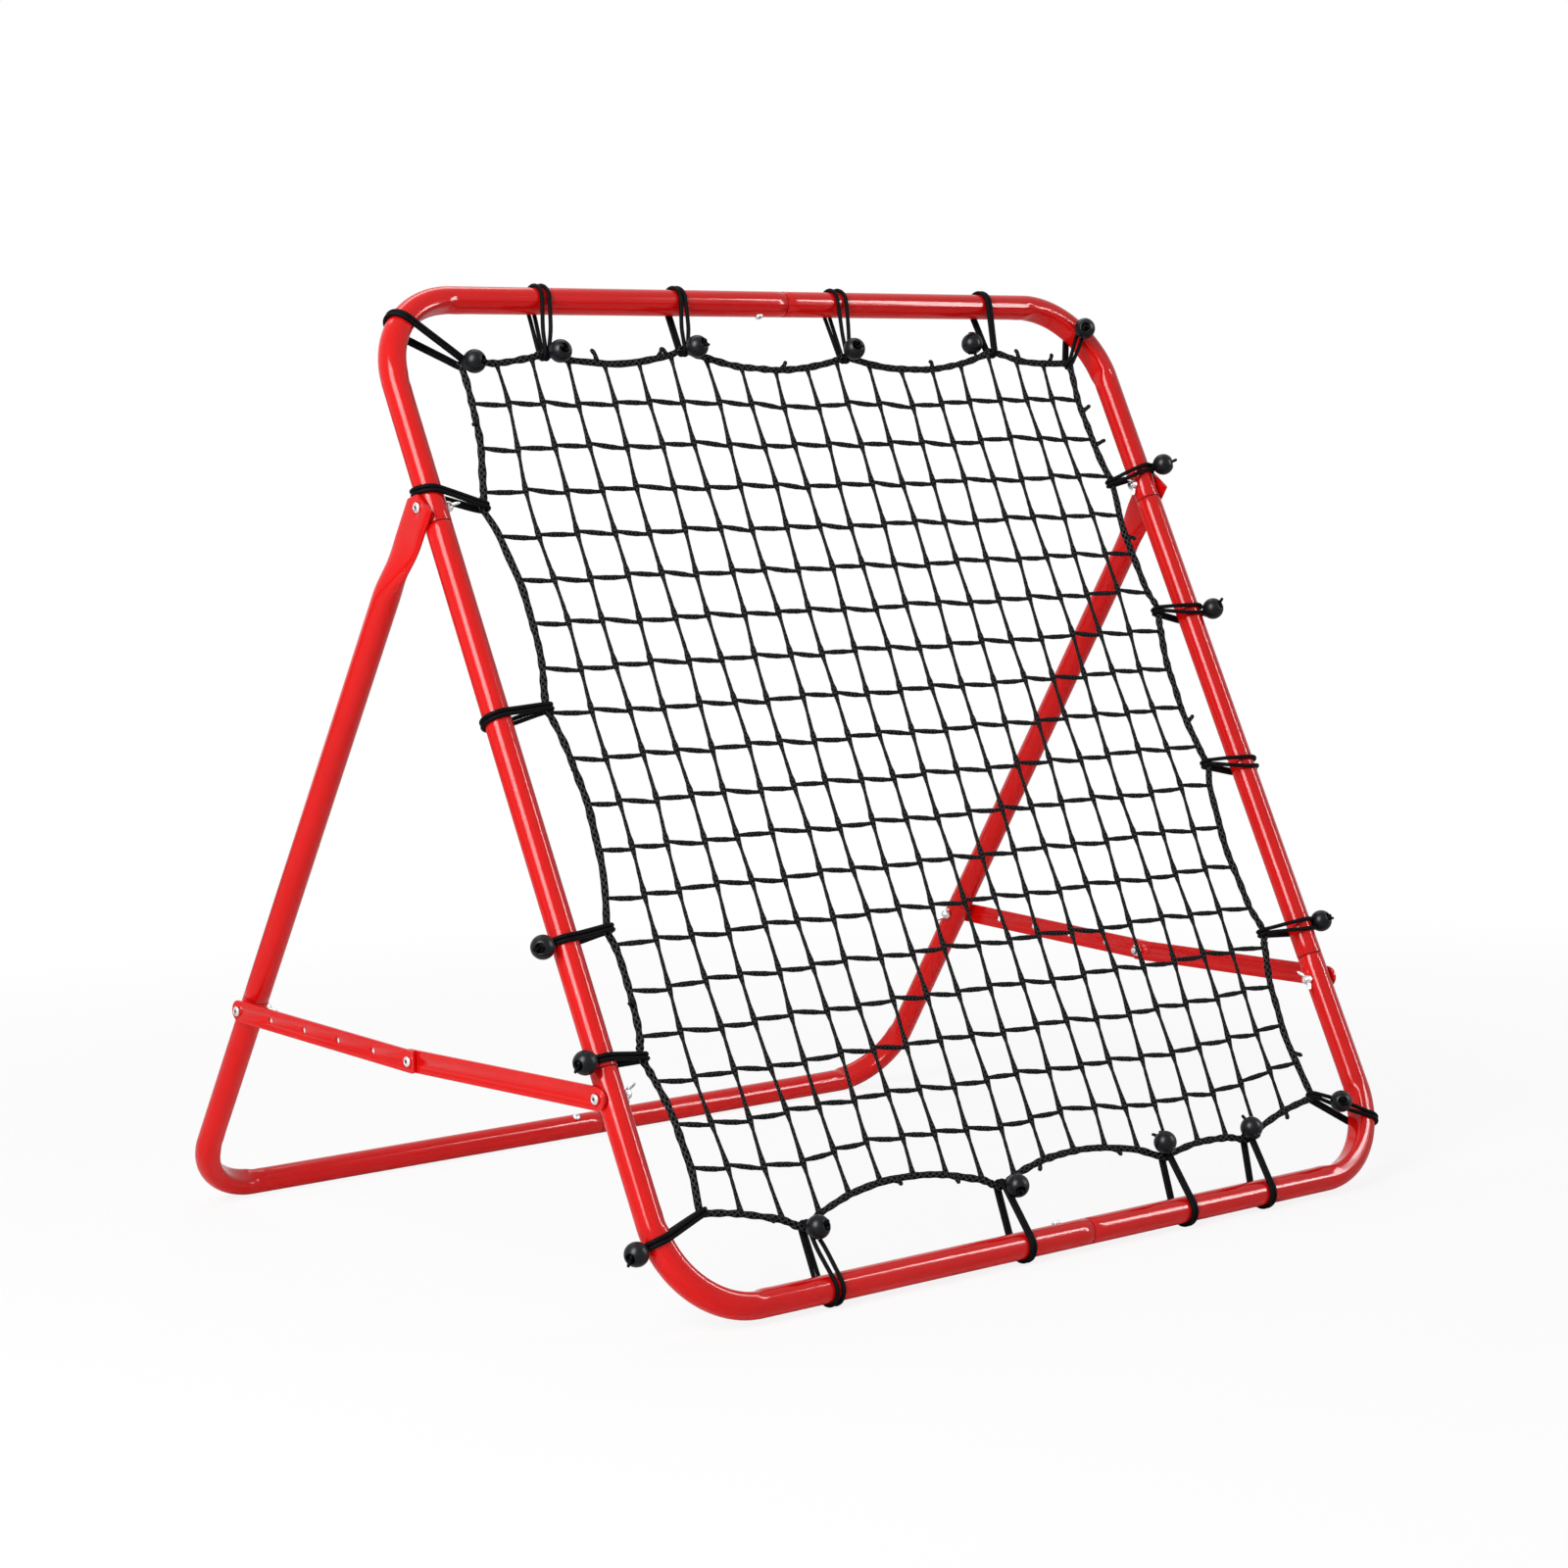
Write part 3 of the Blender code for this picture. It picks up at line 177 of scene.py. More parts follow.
def axis_ways(axis):
    """A unit vector along an axis, and two more that are square to it and to each other."""
    axis = unit(np.asarray(axis, float))
    first = unit(np.cross(axis, SLANT))
    return axis, first, np.cross(axis, first)


def turns(sides):
    """Angles of the points round a section: 2 pi k / sides."""
    return 2 * pi * np.arange(sides) / sides


def signed_power(values, power):
    """sign(x) |x|^power, which bends a circle's cosines and sines towards a square's."""
    return np.sign(values) * np.abs(values) ** power


def carried(path, radii, sides, across, loop=False):
    """A round section carried along paths: path + radius * (cos a * side + sin a * up).

    Side is square to the path and to across, a direction that is never along the path. path is
    [..., ring, xyz], and radii is a number, or one for each ring, or one for each ring and side.
    """
    path = np.asarray(path, float)
    if loop:
        tangent = np.roll(path, -1, axis=-2) - np.roll(path, 1, axis=-2)
    else:
        tangent = np.gradient(path, axis=-2)
    tangent = unit(tangent)
    side = unit(np.cross(tangent, np.broadcast_to(across, path.shape)))
    up = np.cross(tangent, side)
    angle = turns(sides)
    radii = np.asarray(radii, float)
    if radii.ndim < 2 or radii.shape[-1] != sides:
        radii = radii[..., None]
    ring = np.cos(angle)[:, None] * side[..., None, :] + np.sin(angle)[:, None] * up[..., None, :]
    return path[..., None, :] + radii[..., None] * ring


def revolved(profile, sides, axis, place):
    """Radius and height turned round an axis: place + radius * (cos a, sin a) + height * axis."""
    profile = np.asarray(profile, float)
    axis, first, second = axis_ways(axis)
    angle = turns(sides)
    ring = np.cos(angle)[:, None] * first + np.sin(angle)[:, None] * second
    return np.asarray(place) + profile[:, :1, None] * ring + profile[:, 1:, None] * axis


def turned(rows, outline, sides, axis, place, spin=0.0):
    """Rows of radius, height and share turned round an axis: a circle, or by its share an outline.

    The distance at angle a is radius * (1 - share + share * outline(a)), and spin turns the whole.
    """
    axis, first, second = axis_ways(axis)
    angle = turns(sides)
    radius, height, share = (column[:, None] for column in np.array(rows, float).T)
    reach = radius * (1 - share) + outline(angle) * radius * share
    ring = np.cos(angle + spin)[:, None] * first + np.sin(angle + spin)[:, None] * second
    return np.asarray(place) + reach[..., None] * ring + height[..., None] * axis


# Materials


class Nodes:
    """Short calls for building the nodes of one material or world."""

    def __init__(self, owner):
        owner.use_nodes = True
        self.owner = owner
        self.tree = owner.node_tree

    def feed(self, socket, value):
        """Links a socket to another node's output, or sets it to a value."""
        if isinstance(value, bpy.types.NodeSocket):
            self.tree.links.new(value, socket)
        else:
            socket.default_value = value

    def add(self, kind, inputs=(), **settings):
        """A new node with its settings and inputs."""
        node = self.tree.nodes.new(kind)
        for key, value in settings.items():
            setattr(node, key, value)
        for key, value in dict(inputs).items():
            self.feed(node.inputs[key], value)
        return node

    def place(self, scale=(1, 1, 1)):
        """Object coordinates, scaled."""
        source = self.add("ShaderNodeTexCoord").outputs["Object"]
        return self.add("ShaderNodeMapping", {"Vector": source, "Scale": scale}).outputs["Vector"]

    def noise(self, vector, scale, detail=3.0, roughness=0.5):
        """Noise from 0 to 1."""
        inputs = {"Vector": vector, "Scale": scale, "Detail": detail, "Roughness": roughness}
        return self.add("ShaderNodeTexNoise", inputs).outputs["Fac"]

    def span(self, value, low, high, to_low=0.0, to_high=1.0):
        """A value's range from low to high carried to another range."""
        inputs = {"Value": value, "From Min": low, "From Max": high, "To Min": to_low, "To Max": to_high}
        return self.add("ShaderNodeMapRange", inputs).outputs["Result"]

    def math(self, operation, first, second=0.0):
        """The result of one operation on one or two values."""
        return self.add("ShaderNodeMath", {0: first, 1: second}, operation=operation).outputs[0]

    def mix(self, share, first, second):
        """A colour between two colours."""
        return self.add("ShaderNodeMix", {0: share, 6: first, 7: second}, data_type="RGBA").outputs[2]

    def bump(self, height, distance, strength):
        """A normal tilted as by heights of this distance."""
        inputs = {"Height": height, "Distance": distance, "Strength": strength}
        return self.add("ShaderNodeBump", inputs).outputs["Normal"]

    def finish(self, **inputs):
        """Sets the material's shader and returns the material."""
        shader = self.tree.nodes["Principled BSDF"]
        for key, value in inputs.items():
            self.feed(shader.inputs[key.replace("_", " ")], value)
        return self.owner


def material_nodes(name):
    """Nodes of a new material."""
    return Nodes(bpy.data.materials.new(name))


def red_coat():
    """Red gloss powder coat: faint orange-peel waves and slightly uneven colour."""
    n = material_nodes("red_powder_coat")
    place = n.place()
    peel = n.noise(place, 260.0, 2.0)
    cloud = n.noise(place, 14.0, 4.0)
    colour = n.mix(n.span(cloud, 0.3, 0.7), (0.64, 0.003, 0.003, 1), (0.69, 0.006, 0.005, 1))
    rough = n.span(cloud, 0.3, 0.7, 0.09, 0.14)
    return n.finish(Base_Color=colour, Roughness=rough, Normal=n.bump(peel, 0.00002, 0.03), IOR=1.30)


def dark_shade(name, colour):
    """Painted shade: a dark surface that stands for the shade deep in a narrow place, or a dark part's own
    colour, slightly uneven.
    """
    n = material_nodes(name)
    cloud = n.noise(n.place(), 300.0)
    darker = tuple(0.6 * value for value in colour[:3]) + (1,)
    return n.finish(Base_Color=n.mix(cloud, darker, colour), Roughness=0.8, Specular_IOR_Level=0.1)


def zinc():
    """Bright zinc plate: fine brushed streaks and faint grey clouds."""
    n = material_nodes("bright_zinc")
    place = n.place()
    streak = n.noise(n.place((600, 600, 2500)), 1.0, 2.0)
    cloud = n.noise(place, 240.0, 3.0)
    colour = n.mix(n.span(cloud, 0.35, 0.65), (0.60, 0.60, 0.61, 1), (0.80, 0.80, 0.79, 1))
    rough = n.span(streak, 0.3, 0.7, 0.20, 0.36)
    return n.finish(Base_Color=colour, Metallic=1.0, Roughness=rough, Normal=n.bump(streak, 0.00003, 0.5))


def braid(name, dark, light, pitch, count, depth, rough):
    """Braided or twisted black cord: two sets of slanting ridges in the cord's own length and way round. The
    highest ridges and the grain's flecks take the lighter colour, a painted sheen.
    """
    n = material_nodes(name)
    uv = n.add("ShaderNodeTexCoord").outputs["UV"]
    parts = n.add("ShaderNodeSeparateXYZ", {"Vector": uv}).outputs
    around = n.math("MULTIPLY", parts["X"], float(count))
    along = n.math("MULTIPLY", parts["Y"], 1.0 / pitch)
    first = n.math("SINE", n.math("MULTIPLY", n.math("ADD", along, around), 2 * pi))
    second = n.math("SINE", n.math("MULTIPLY", n.math("SUBTRACT", along, around), 2 * pi))
    weave = n.math("MAXIMUM", first, second)
    grain = n.noise(n.place(), 1500.0, 3.0, 0.6)
    height = n.math("ADD", n.math("MULTIPLY", weave, 0.5), n.math("MULTIPLY", grain, 0.8))
    # Painted sheen: the tops of the ridges and the flecks turn towards the lighter colour
    colour = n.mix(n.span(height, 0.68, 0.98), dark, light)
    return n.finish(Base_Color=colour, Roughness=rough, Normal=n.bump(height, depth, 0.8), IOR=1.09)


def ball_plastic():
    """Satin black moulded plastic with a faint grain."""
    n = material_nodes("satin_black_plastic")
    place = n.place()
    grain = n.noise(place, 900.0, 2.0)
    cloud = n.noise(place, 90.0, 2.0)
    rough = n.span(cloud, 0.3, 0.7, 0.28, 0.36)
    normal = n.bump(grain, 0.00006, 0.5)
    return n.finish(Base_Color=(0.005, 0.006, 0.008, 1), Roughness=rough, Normal=normal, IOR=1.25)


RED = red_coat()
ZINC = zinc()
# Painted shade in the seams' gaps, partly the bare spigot's darker steel
SEAM_SHADE = dark_shade("seam_shade_and_bare_spigot", (0.05, 0.004, 0.004, 1))
# Painted shade at the floor of the bolts' recesses, and the black colour of the lock nuts' nylon rings
SOCKET_SHADE_AND_NYLON = dark_shade("socket_shade_and_black_nylon", (0.035, 0.037, 0.042, 1))
# The cords' lighter colours are painted sheen on their ridges
TWINE = braid(
    "black_net_twine", dark=(0.001, 0.001, 0.0015, 1), light=(0.055, 0.055, 0.058, 1),
    pitch=0.0045, count=3, depth=0.0006, rough=0.6,
)
ROPE = braid(
    "black_border_rope", dark=(0.001, 0.001, 0.0015, 1), light=(0.08, 0.08, 0.085, 1),
    pitch=0.007, count=4, depth=0.0009, rough=0.65,
)
ELASTIC = braid(
    "black_elastic_cord", dark=(0.002, 0.002, 0.003, 1), light=(0.012, 0.012, 0.013, 1),
    pitch=0.0016, count=8, depth=0.0002, rough=0.45,
)
BALL_LOOK = ball_plastic()

# Tubes

TUBE_SIDES = 48
# How far a tube's coated end stands back into its seam, and the step from there to the bare spigot
SEAM_IN = 0.0003
SEAM_STEP = 0.0001
EDGE_ROUND = 0.0005
END_RING = 0.012
# A bend's crushed inner side: how far it starts outside the bend, how soon it is full, and its shape
CRUSH_START = 0.002
CRUSH_FADE = 0.012
CRUSH_SQUARE = 0.5
CRUSH_IN = 0.17
CRUSH_UP = 0.03
# The small bulge at each end of the crushed stretch
BULGE = 0.16
BULGE_PLACE = 0.007
BULGE_WIDTH = 0.006


def bent_line(t, first, radius, turn):
    """Place, outward way and crushing at distance t along a straight, a bend and a second straight.

    The first straight has length first. The line starts at the origin along +u and bends towards +v when
    turn is 1, or -v when it is -1. The crushing is a smooth step in and out of the bend, 3 x^2 - 2 x^3,
    less a small bell-shaped bulge beyond each end.
    """
    t = np.asarray(t, float)
    quarter = radius * pi / 2
    angle = np.clip((t - first) / radius, 0, pi / 2)
    beyond = np.clip(t - first - quarter, 0, None)
    u = np.minimum(t, first) + radius * np.sin(angle)
    v = radius * (1 - np.cos(angle)) + beyond
    out_u = np.sin(angle)
    out_v = -np.cos(angle)
    before = np.clip((t - first + CRUSH_START) / CRUSH_FADE, 0, 1)
    after = np.clip((first + quarter + CRUSH_START - t) / CRUSH_FADE, 0, 1)
    crush = (3 - 2 * before) * before ** 2 * (3 - 2 * after) * after ** 2
    crush = crush - BULGE * np.exp(-(((t - first + BULGE_PLACE) / BULGE_WIDTH) ** 2))
    crush = crush - BULGE * np.exp(-(((t - first - quarter - BULGE_PLACE) / BULGE_WIDTH) ** 2))
    return np.stack([u, v * turn], axis=-1), np.stack([out_u, out_v * turn], axis=-1), crush


def rounded_end(start, inwards, outer, inner):
    """Distance and radius rows of a tube's cut end, from bore to outside, its sharp edge taken off."""
    corner = EDGE_ROUND * 0.3
    rows = [(start, inner), (start, outer - EDGE_ROUND), (start + inwards * corner, outer - corner)]
    return rows + [(start + inwards * EDGE_ROUND, outer)]


def tube_stops(first, radius, second):
    """Distances of the rings along a tube: close together in and beside its bend, few along a straight."""
    bend_end = first + radius * pi / 2
    last = bend_end + second - END_RING
    if not radius:
        return np.linspace(END_RING, last, 9)
    return np.concatenate([
        np.linspace(END_RING, first - 0.024, 5), np.linspace(first - 0.020, bend_end + 0.020, 57),
        np.linspace(bend_end + 0.024, last, 5),
    ])


def tube_rows(length, stops, spigots):
    """Closed profile of a tube as distance and radius: outside to the far end, and back along the bore."""
    spigot_start, spigot_end = spigots
    outside = []
    if spigot_start:
        outside += rounded_end(-SOCKET_DEPTH, 1, SPIGOT_RADIUS, SPIGOT_BORE)
        outside += [(SEAM_IN - SEAM_STEP, SPIGOT_RADIUS)]
        outside += rounded_end(SEAM_IN, 1, TUBE_RADIUS, SPIGOT_RADIUS)
    else:
        outside += rounded_end(SEAM_IN, 1, TUBE_RADIUS, BORE_RADIUS)
    outside += [(t, TUBE_RADIUS) for t in stops]
    if spigot_end:
        outside += rounded_end(length - SEAM_IN, -1, TUBE_RADIUS, SPIGOT_RADIUS)[::-1]
        outside += [(length - SEAM_IN + SEAM_STEP, SPIGOT_RADIUS)]
        outside += rounded_end(length + SOCKET_DEPTH, -1, SPIGOT_RADIUS, SPIGOT_BORE)[::-1]
        inside = [(length, SPIGOT_BORE), (length - NECK_LENGTH, BORE_RADIUS)]
    else:
        outside += rounded_end(length - SEAM_IN, -1, TUBE_RADIUS, BORE_RADIUS)[::-1]
        inside = []
    inside += [(t, BORE_RADIUS) for t in stops[::-1]]
    if spigot_start:
        inside += [(NECK_LENGTH, BORE_RADIUS), (0.0, SPIGOT_BORE)]
    return np.array(outside + inside)


def seam_rings(length, spigots):
    """Rows of the dark rings in the seams beside a tube's spigots: painted shade in the gap, partly the bare
    spigot's darker steel.
    """
    low, high = SPIGOT_RADIUS - SEAM_STEP, TUBE_RADIUS - EDGE_ROUND
    rings = []
    if spigots[0]:
        rings.append((-SEAM_GAP - SEAM_IN, SEAM_IN))
    if spigots[1]:
        rings.append((length - SEAM_IN, length + SEAM_GAP + SEAM_IN))
    return [np.array([(a, low), (a, high), (b, high), (b, low)]) for a, b in rings]


def tube_surface(rows, line):
    """Points of a tube about a line, which gives place, outward way and crushing for each distance.

    Section: x = r sign(cos a) |cos a|^k and y = r (1 + 0.03 crush) sign(sin a) |sin a|^k, where k is 1
    outside the bend and falls to 0.5 on a crushed bend's inner side, where x shrinks by 0.17 times the
    crushing.
    """
    place, out, crush = line(rows[:, 0])
    crush = crush[:, None]
    angle = turns(TUBE_SIDES)
    inner = np.cos(angle) < 0
    power = 1 - CRUSH_SQUARE * np.clip(crush, 0, 1) * inner
    radius = rows[:, 1][:, None]
    reach = radius * signed_power(np.cos(angle), power) * (1 - CRUSH_IN * crush * inner)
    up = radius * signed_power(np.sin(angle), power) * (1 + CRUSH_UP * np.clip(crush, 0, 1))
    plane = place[:, None, :] + out[:, None, :] * reach[..., None]
    return np.concatenate([plane, up[..., None]], axis=-1)


def red_tube(name, patches, body):
    """A tube's piece, which stands for the node of its name. Its seams' rings have the second look, the
    painted seam shade.
    """
    return piece(name + "_tube", patches, [RED, SEAM_SHADE], body, [name])


def tube_piece(name, body, length, stops, spigots, shape):
    """A tube with the dark rings of its seams, painted shade. shape gives the points of a set of rows."""
    sets = [tube_rows(length, stops, spigots)] + seam_rings(length, spigots)
    patches = [Patch(shape(rows), along=True, look=min(number, 1)) for number, rows in enumerate(sets)]
    return red_tube(name, patches, body)


def corner_tube(name, body, place, mirror, start, first, radius, second, turn, spigots):
    """A corner piece: a bar along x, a bend, and a leg of the frame or stand, in that body's own plane."""

    def shape(rows):
        points = tube_surface(rows, lambda t: bent_line(t, first, radius, turn))
        points = points * (mirror, 1, 1) + np.array((*start, 0))
        return place(points[:, ::-1] if mirror * turn > 0 else points)

    length = first + radius * pi / 2 + second
    return tube_piece(name, body, length, tube_stops(first, radius, second), spigots, shape)


def straight_tube(name, body, place, start, length, spigots):
    """A straight tube along a body's second direction, from a start of x and that direction."""

    def line(t):
        zero = np.zeros_like(t)
        middle = np.stack([zero + start[0], start[1] + t], axis=-1)
        return middle, np.stack([zero + 1, zero], axis=-1), zero

    def shape(rows):
        return place(tube_surface(rows, line)[:, ::-1])

    return tube_piece(name, body, length, tube_stops(0, 0, length), spigots, shape)


for side, sign in SIDES.items():
    right = side == "right"
    for level, seam, height, turn in (("top", TOP_SEAM, FRAME_HEIGHT, -1), ("bottom", BOTTOM_SEAM, 0.0, 1)):
        start = seam + SEAM_GAP if right else seam
        first = HALF_WIDTH - FRAME_BEND - sign * start
        corner_tube(
            f"frame_{level}_{side}", "front_frame", in_frame, sign, (start, height), first, FRAME_BEND,
            CORNER_RISE - FRAME_BEND, turn, (right, False),
        )
    straight_tube(
        f"upright_{side}", "front_frame", in_frame, (sign * HALF_WIDTH, CORNER_RISE + SEAM_GAP),
        UPPER_SEAM - CORNER_RISE - 2 * SEAM_GAP, (True, True),
    )
    start = STAND_SEAM + SEAM_GAP if right else STAND_SEAM
    first = STAND_HALF_WIDTH - STAND_BEND - sign * start
    corner_tube(
        f"stand_corner_{side}", "rear_stand", in_stand, sign, (start, LEG_LENGTH), first, STAND_BEND,
        STAND_CORNER_RISE - STAND_BEND, -1, (right, False),
    )

# Stand legs

PLATE_THICKNESS = 0.0035
PLATE_HALF = 0.99 * pi * TUBE_RADIUS / 2
PLATE_LENGTH = 0.028
CRUSH_LENGTH = 0.068
PLATE_OUT = PLATE_THICKNESS / 2 + TUBE_RADIUS + SEAM_GAP
BORE_START = PLATE_LENGTH + CRUSH_LENGTH + 0.012
# The pressed tip: its edge's place down the leg from the pivot for each share of the plate's width
TIP_SHARES = (-1.0, -0.93, -0.3, 0.33, 0.93, 1.0)
TIP_PLACES = (-0.0076, -0.0087, -0.0094, -0.0100, 0.0026, 0.0044)
TIP_LENGTH = 0.012
# The shallow dish where the plate runs out into the tube
DISH_DEPTH = 0.0012
DISH_PLACE = 0.075
DISH_LENGTH = 0.02
DISH_SHARE = 0.35
BOLT_RADIUS = 0.003
HOLE_RADIUS = 0.0033
HOLE_SIDES = 28
CUTTER_HALF = 0.004


def leg_surface(sign):
    """A stand leg: a circle that turns into a flat pressed plate with round edges towards the pivot.

    Round: (r cos a, r sin a). Flat: width times the share asin(sin a) / 90 degrees, and half the thickness
    times (1 - share^8)^(1/2) on the side that cos a gives. A smooth step along the crushed length mixes
    the two.
    """
    angle = 2 * pi * (np.arange(TUBE_SIDES) + 0.5) / TUBE_SIDES
    share = np.arcsin(np.sin(angle)) / (pi / 2)
    side = np.sign(np.cos(angle))
    rows = [(0.0, 1.0, TUBE_RADIUS), (TIP_LENGTH, 1.0, TUBE_RADIUS)]
    for k in np.linspace(0, 1, 15):
        rows.append((PLATE_LENGTH + CRUSH_LENGTH * k, 1 - k * k * (3 - 2 * k), TUBE_RADIUS))
    rows += [(t, 0.0, TUBE_RADIUS) for t in np.linspace(BORE_START, LEG_END - 0.01, 8)]
    foot = rounded_end(LEG_END, -1, TUBE_RADIUS, SPIGOT_RADIUS)[::-1] + [(LEG_END + SEAM_STEP, SPIGOT_RADIUS)]
    foot += rounded_end(LEG_END + SOCKET_DEPTH, -1, SPIGOT_RADIUS, SPIGOT_BORE)[::-1]
    foot += [(LEG_END, SPIGOT_BORE), (LEG_END - NECK_LENGTH, BORE_RADIUS), (BORE_START, BORE_RADIUS)]
    rows += [(t, 0.0, radius) for t, radius in foot]
    t, flat, radius = (column[:, None] for column in np.array(rows).T)
    half = PLATE_THICKNESS / 2 * np.sqrt(np.clip(1 - share ** 8, 0.02, 1)) * side
    centre = (1 - flat) * STAND_OUT + flat * PLATE_OUT
    out = centre + (1 - flat) * radius * np.cos(angle) + flat * half
    across = (1 - flat) * radius * np.sin(angle) + flat * PLATE_HALF * share
    tip = np.interp(share, TIP_SHARES, TIP_PLACES)
    along = t + tip * np.clip(1 - t / TIP_LENGTH, 0, 1)
    dish = DISH_DEPTH * np.exp(-(((t - DISH_PLACE) / DISH_LENGTH) ** 2))
    dish = dish * np.exp(-((share / DISH_SHARE) ** 2))
    points = np.stack([sign * (HALF_WIDTH + out - dish * side * flat), along, across], axis=-1)
    return points if sign < 0 else points[:, ::-1]


def leg_patches(sign):
    """The leg and the dark ring in the seam at its foot, painted shade."""
    foot = np.array((sign * STAND_HALF_WIDTH, LEG_END, 0.0))
    ring = revolved(seam_rings(0.0, (False, True))[0][:, ::-1], TUBE_SIDES, (0, 1, 0), foot)
    return [Patch(in_stand(leg_surface(sign))), Patch(in_stand(ring), along=True, look=1)]


def hole_cutter(axis, place):
    """A round bar that cuts a bolt's hole."""
    ends = [(HOLE_RADIUS, -CUTTER_HALF), (HOLE_RADIUS, CUTTER_HALF)]
    return Patch(revolved(ends, HOLE_SIDES, axis, place))


def cut(target, cutters):
    """Takes the cutters out of a piece with an exact Boolean, and applies it."""
    tool = piece("cutters", cutters, [RED], "front_frame")
    step = target.modifiers.new("holes", "BOOLEAN")
    step.operation, step.solver, step.object = "DIFFERENCE", "EXACT", tool
    graph = bpy.context.evaluated_depsgraph_get()
    mesh = bpy.data.meshes.new_from_object(target.evaluated_get(graph))
    target.modifiers.clear()
    old = target.data
    target.data = mesh
    bpy.data.meshes.remove(old)
    bpy.data.objects.remove(tool)


# Fasteners

HEAD_RADIUS = 0.0048
HEAD_HEIGHT = 0.0027
KEY_RADIUS = 0.0017
THREAD_PITCH = 0.001
THREAD_DEPTH = 0.0003
NUT_WIDTH = 0.0112
NUT_HEIGHT = 0.006
FINE_SIDES = 36
SCREW_SIDES = 64
WING_SIDES = 20
BOLT_SPIN = 0.2
NUT_SPIN = 0.4


def hexagon(angle):
    """Distance to the side of a hexagon of inner radius 1, at an angle."""
    return 1.0 / np.cos((angle % (pi / 3)) - pi / 6)


def cross_recess(angle):
    """Distance to the side of a cross-shaped recess: four narrow wings that reach 1."""
    return 0.42 + 0.58 * np.abs(np.cos(2 * angle)) ** 6


def thread(start, end):
    """Rows of a threaded shank from start to end: a zigzag of radius along it."""
    count = int(abs(end - start) / THREAD_PITCH)
    heights = np.linspace(start, end, 2 * count + 1)
    return [(BOLT_RADIUS - THREAD_DEPTH * (k % 2), h, 0) for k, h in enumerate(heights)]


def bolt_patches(place, axis, length):
    """A button-head bolt: a hexagon recess with a dark plug of painted shade at its floor, domed head, plain
    shank and a threaded end.
    """
    key, r, top = KEY_RADIUS, HEAD_RADIUS, HEAD_HEIGHT
    rows = [(key * 0.2, top - 0.0019, 1), (key, top - 0.0018, 1), (key, top - 0.0003, 1)]
    rows += [(key * 1.12, top - 0.0001, 0.6), (key * 1.3, top, 0)]
    for a in (np.linspace(0.08, 0.5, 8) * pi)[1:-1]:
        rows.append((r * (0.42 + 0.58 * sin(a)), 0.0008 + (top - 0.0008) * cos(a) ** 0.8 * 0.98, 0))
    rows += [(r, 0.0010, 0), (r, 0.0003, 0), (r - 0.0003, 0, 0)]
    rows += [(BOLT_RADIUS, 0, 0), (BOLT_RADIUS, -0.4 * length, 0)]
    rows += thread(-0.62 * length, -length + 0.0006) + [(BOLT_RADIUS * 0.8, -length, 0)]
    # Painted shade: a dark plug at the recess floor, in the second look
    shade = [(key * 0.98, top - 0.0020, 1), (key * 0.98, top - 0.0009, 1)]
    return [
        Patch(turned(rows[::-1], hexagon, FINE_SIDES, axis, place, BOLT_SPIN)),
        Patch(turned(shade, hexagon, FINE_SIDES, axis, place, BOLT_SPIN), look=1),
    ]


def nut_patches(place, axis):
    """A lock nut: hexagon with turned corners, a nylon ring's collar and the end of its bolt."""
    r, half, height = BOLT_RADIUS, NUT_WIDTH / 2, NUT_HEIGHT
    rows = [(r, -0.003, 0), (r, 0.0, 0), (half * 0.96, 0.0, 0), (half, 0.0005, 1)]
    rows += [(half, height * 0.62, 1), (half * 0.99, height * 0.70, 0), (half * 0.86, height * 0.74, 0)]
    rows += [(half * 0.84, height * 0.95, 0), (half * 0.74, height, 0), (r * 1.25, height * 0.96, 0)]
    rows += [(r, height * 0.9, 0)] + thread(height * 0.92, height + 0.0018) + [(r * 0.8, height + 0.0022, 0)]
    ring = [(r * 1.02, height * 0.8), (half * 0.74, height * 0.8), (half * 0.74, height + 0.0002)]
    ring += [(r * 1.02, height + 0.0001)]
    nylon = Patch(revolved(ring, FINE_SIDES, axis, place), along=True, look=1)
    return [Patch(turned(rows, hexagon, FINE_SIDES, axis, place, NUT_SPIN)), nylon]


def screw_patch(place, axis):
    """A pan-head screw with a cross recess."""
    rows = [
        (0.002, -0.006, 0), (0.002, 0, 0), (0.0039, 0, 0), (0.0041, 0.0003, 0), (0.0041, 0.0010, 0),
        (0.0037, 0.0019, 0), (0.0030, 0.0024, 0), (0.0025, 0.0025, 0), (0.0022, 0.0025, 1),
        (0.0019, 0.0012, 1), (0.0002, 0.0009, 1),
    ]
    return Patch(turned(rows, cross_recess, SCREW_SIDES, axis, place))


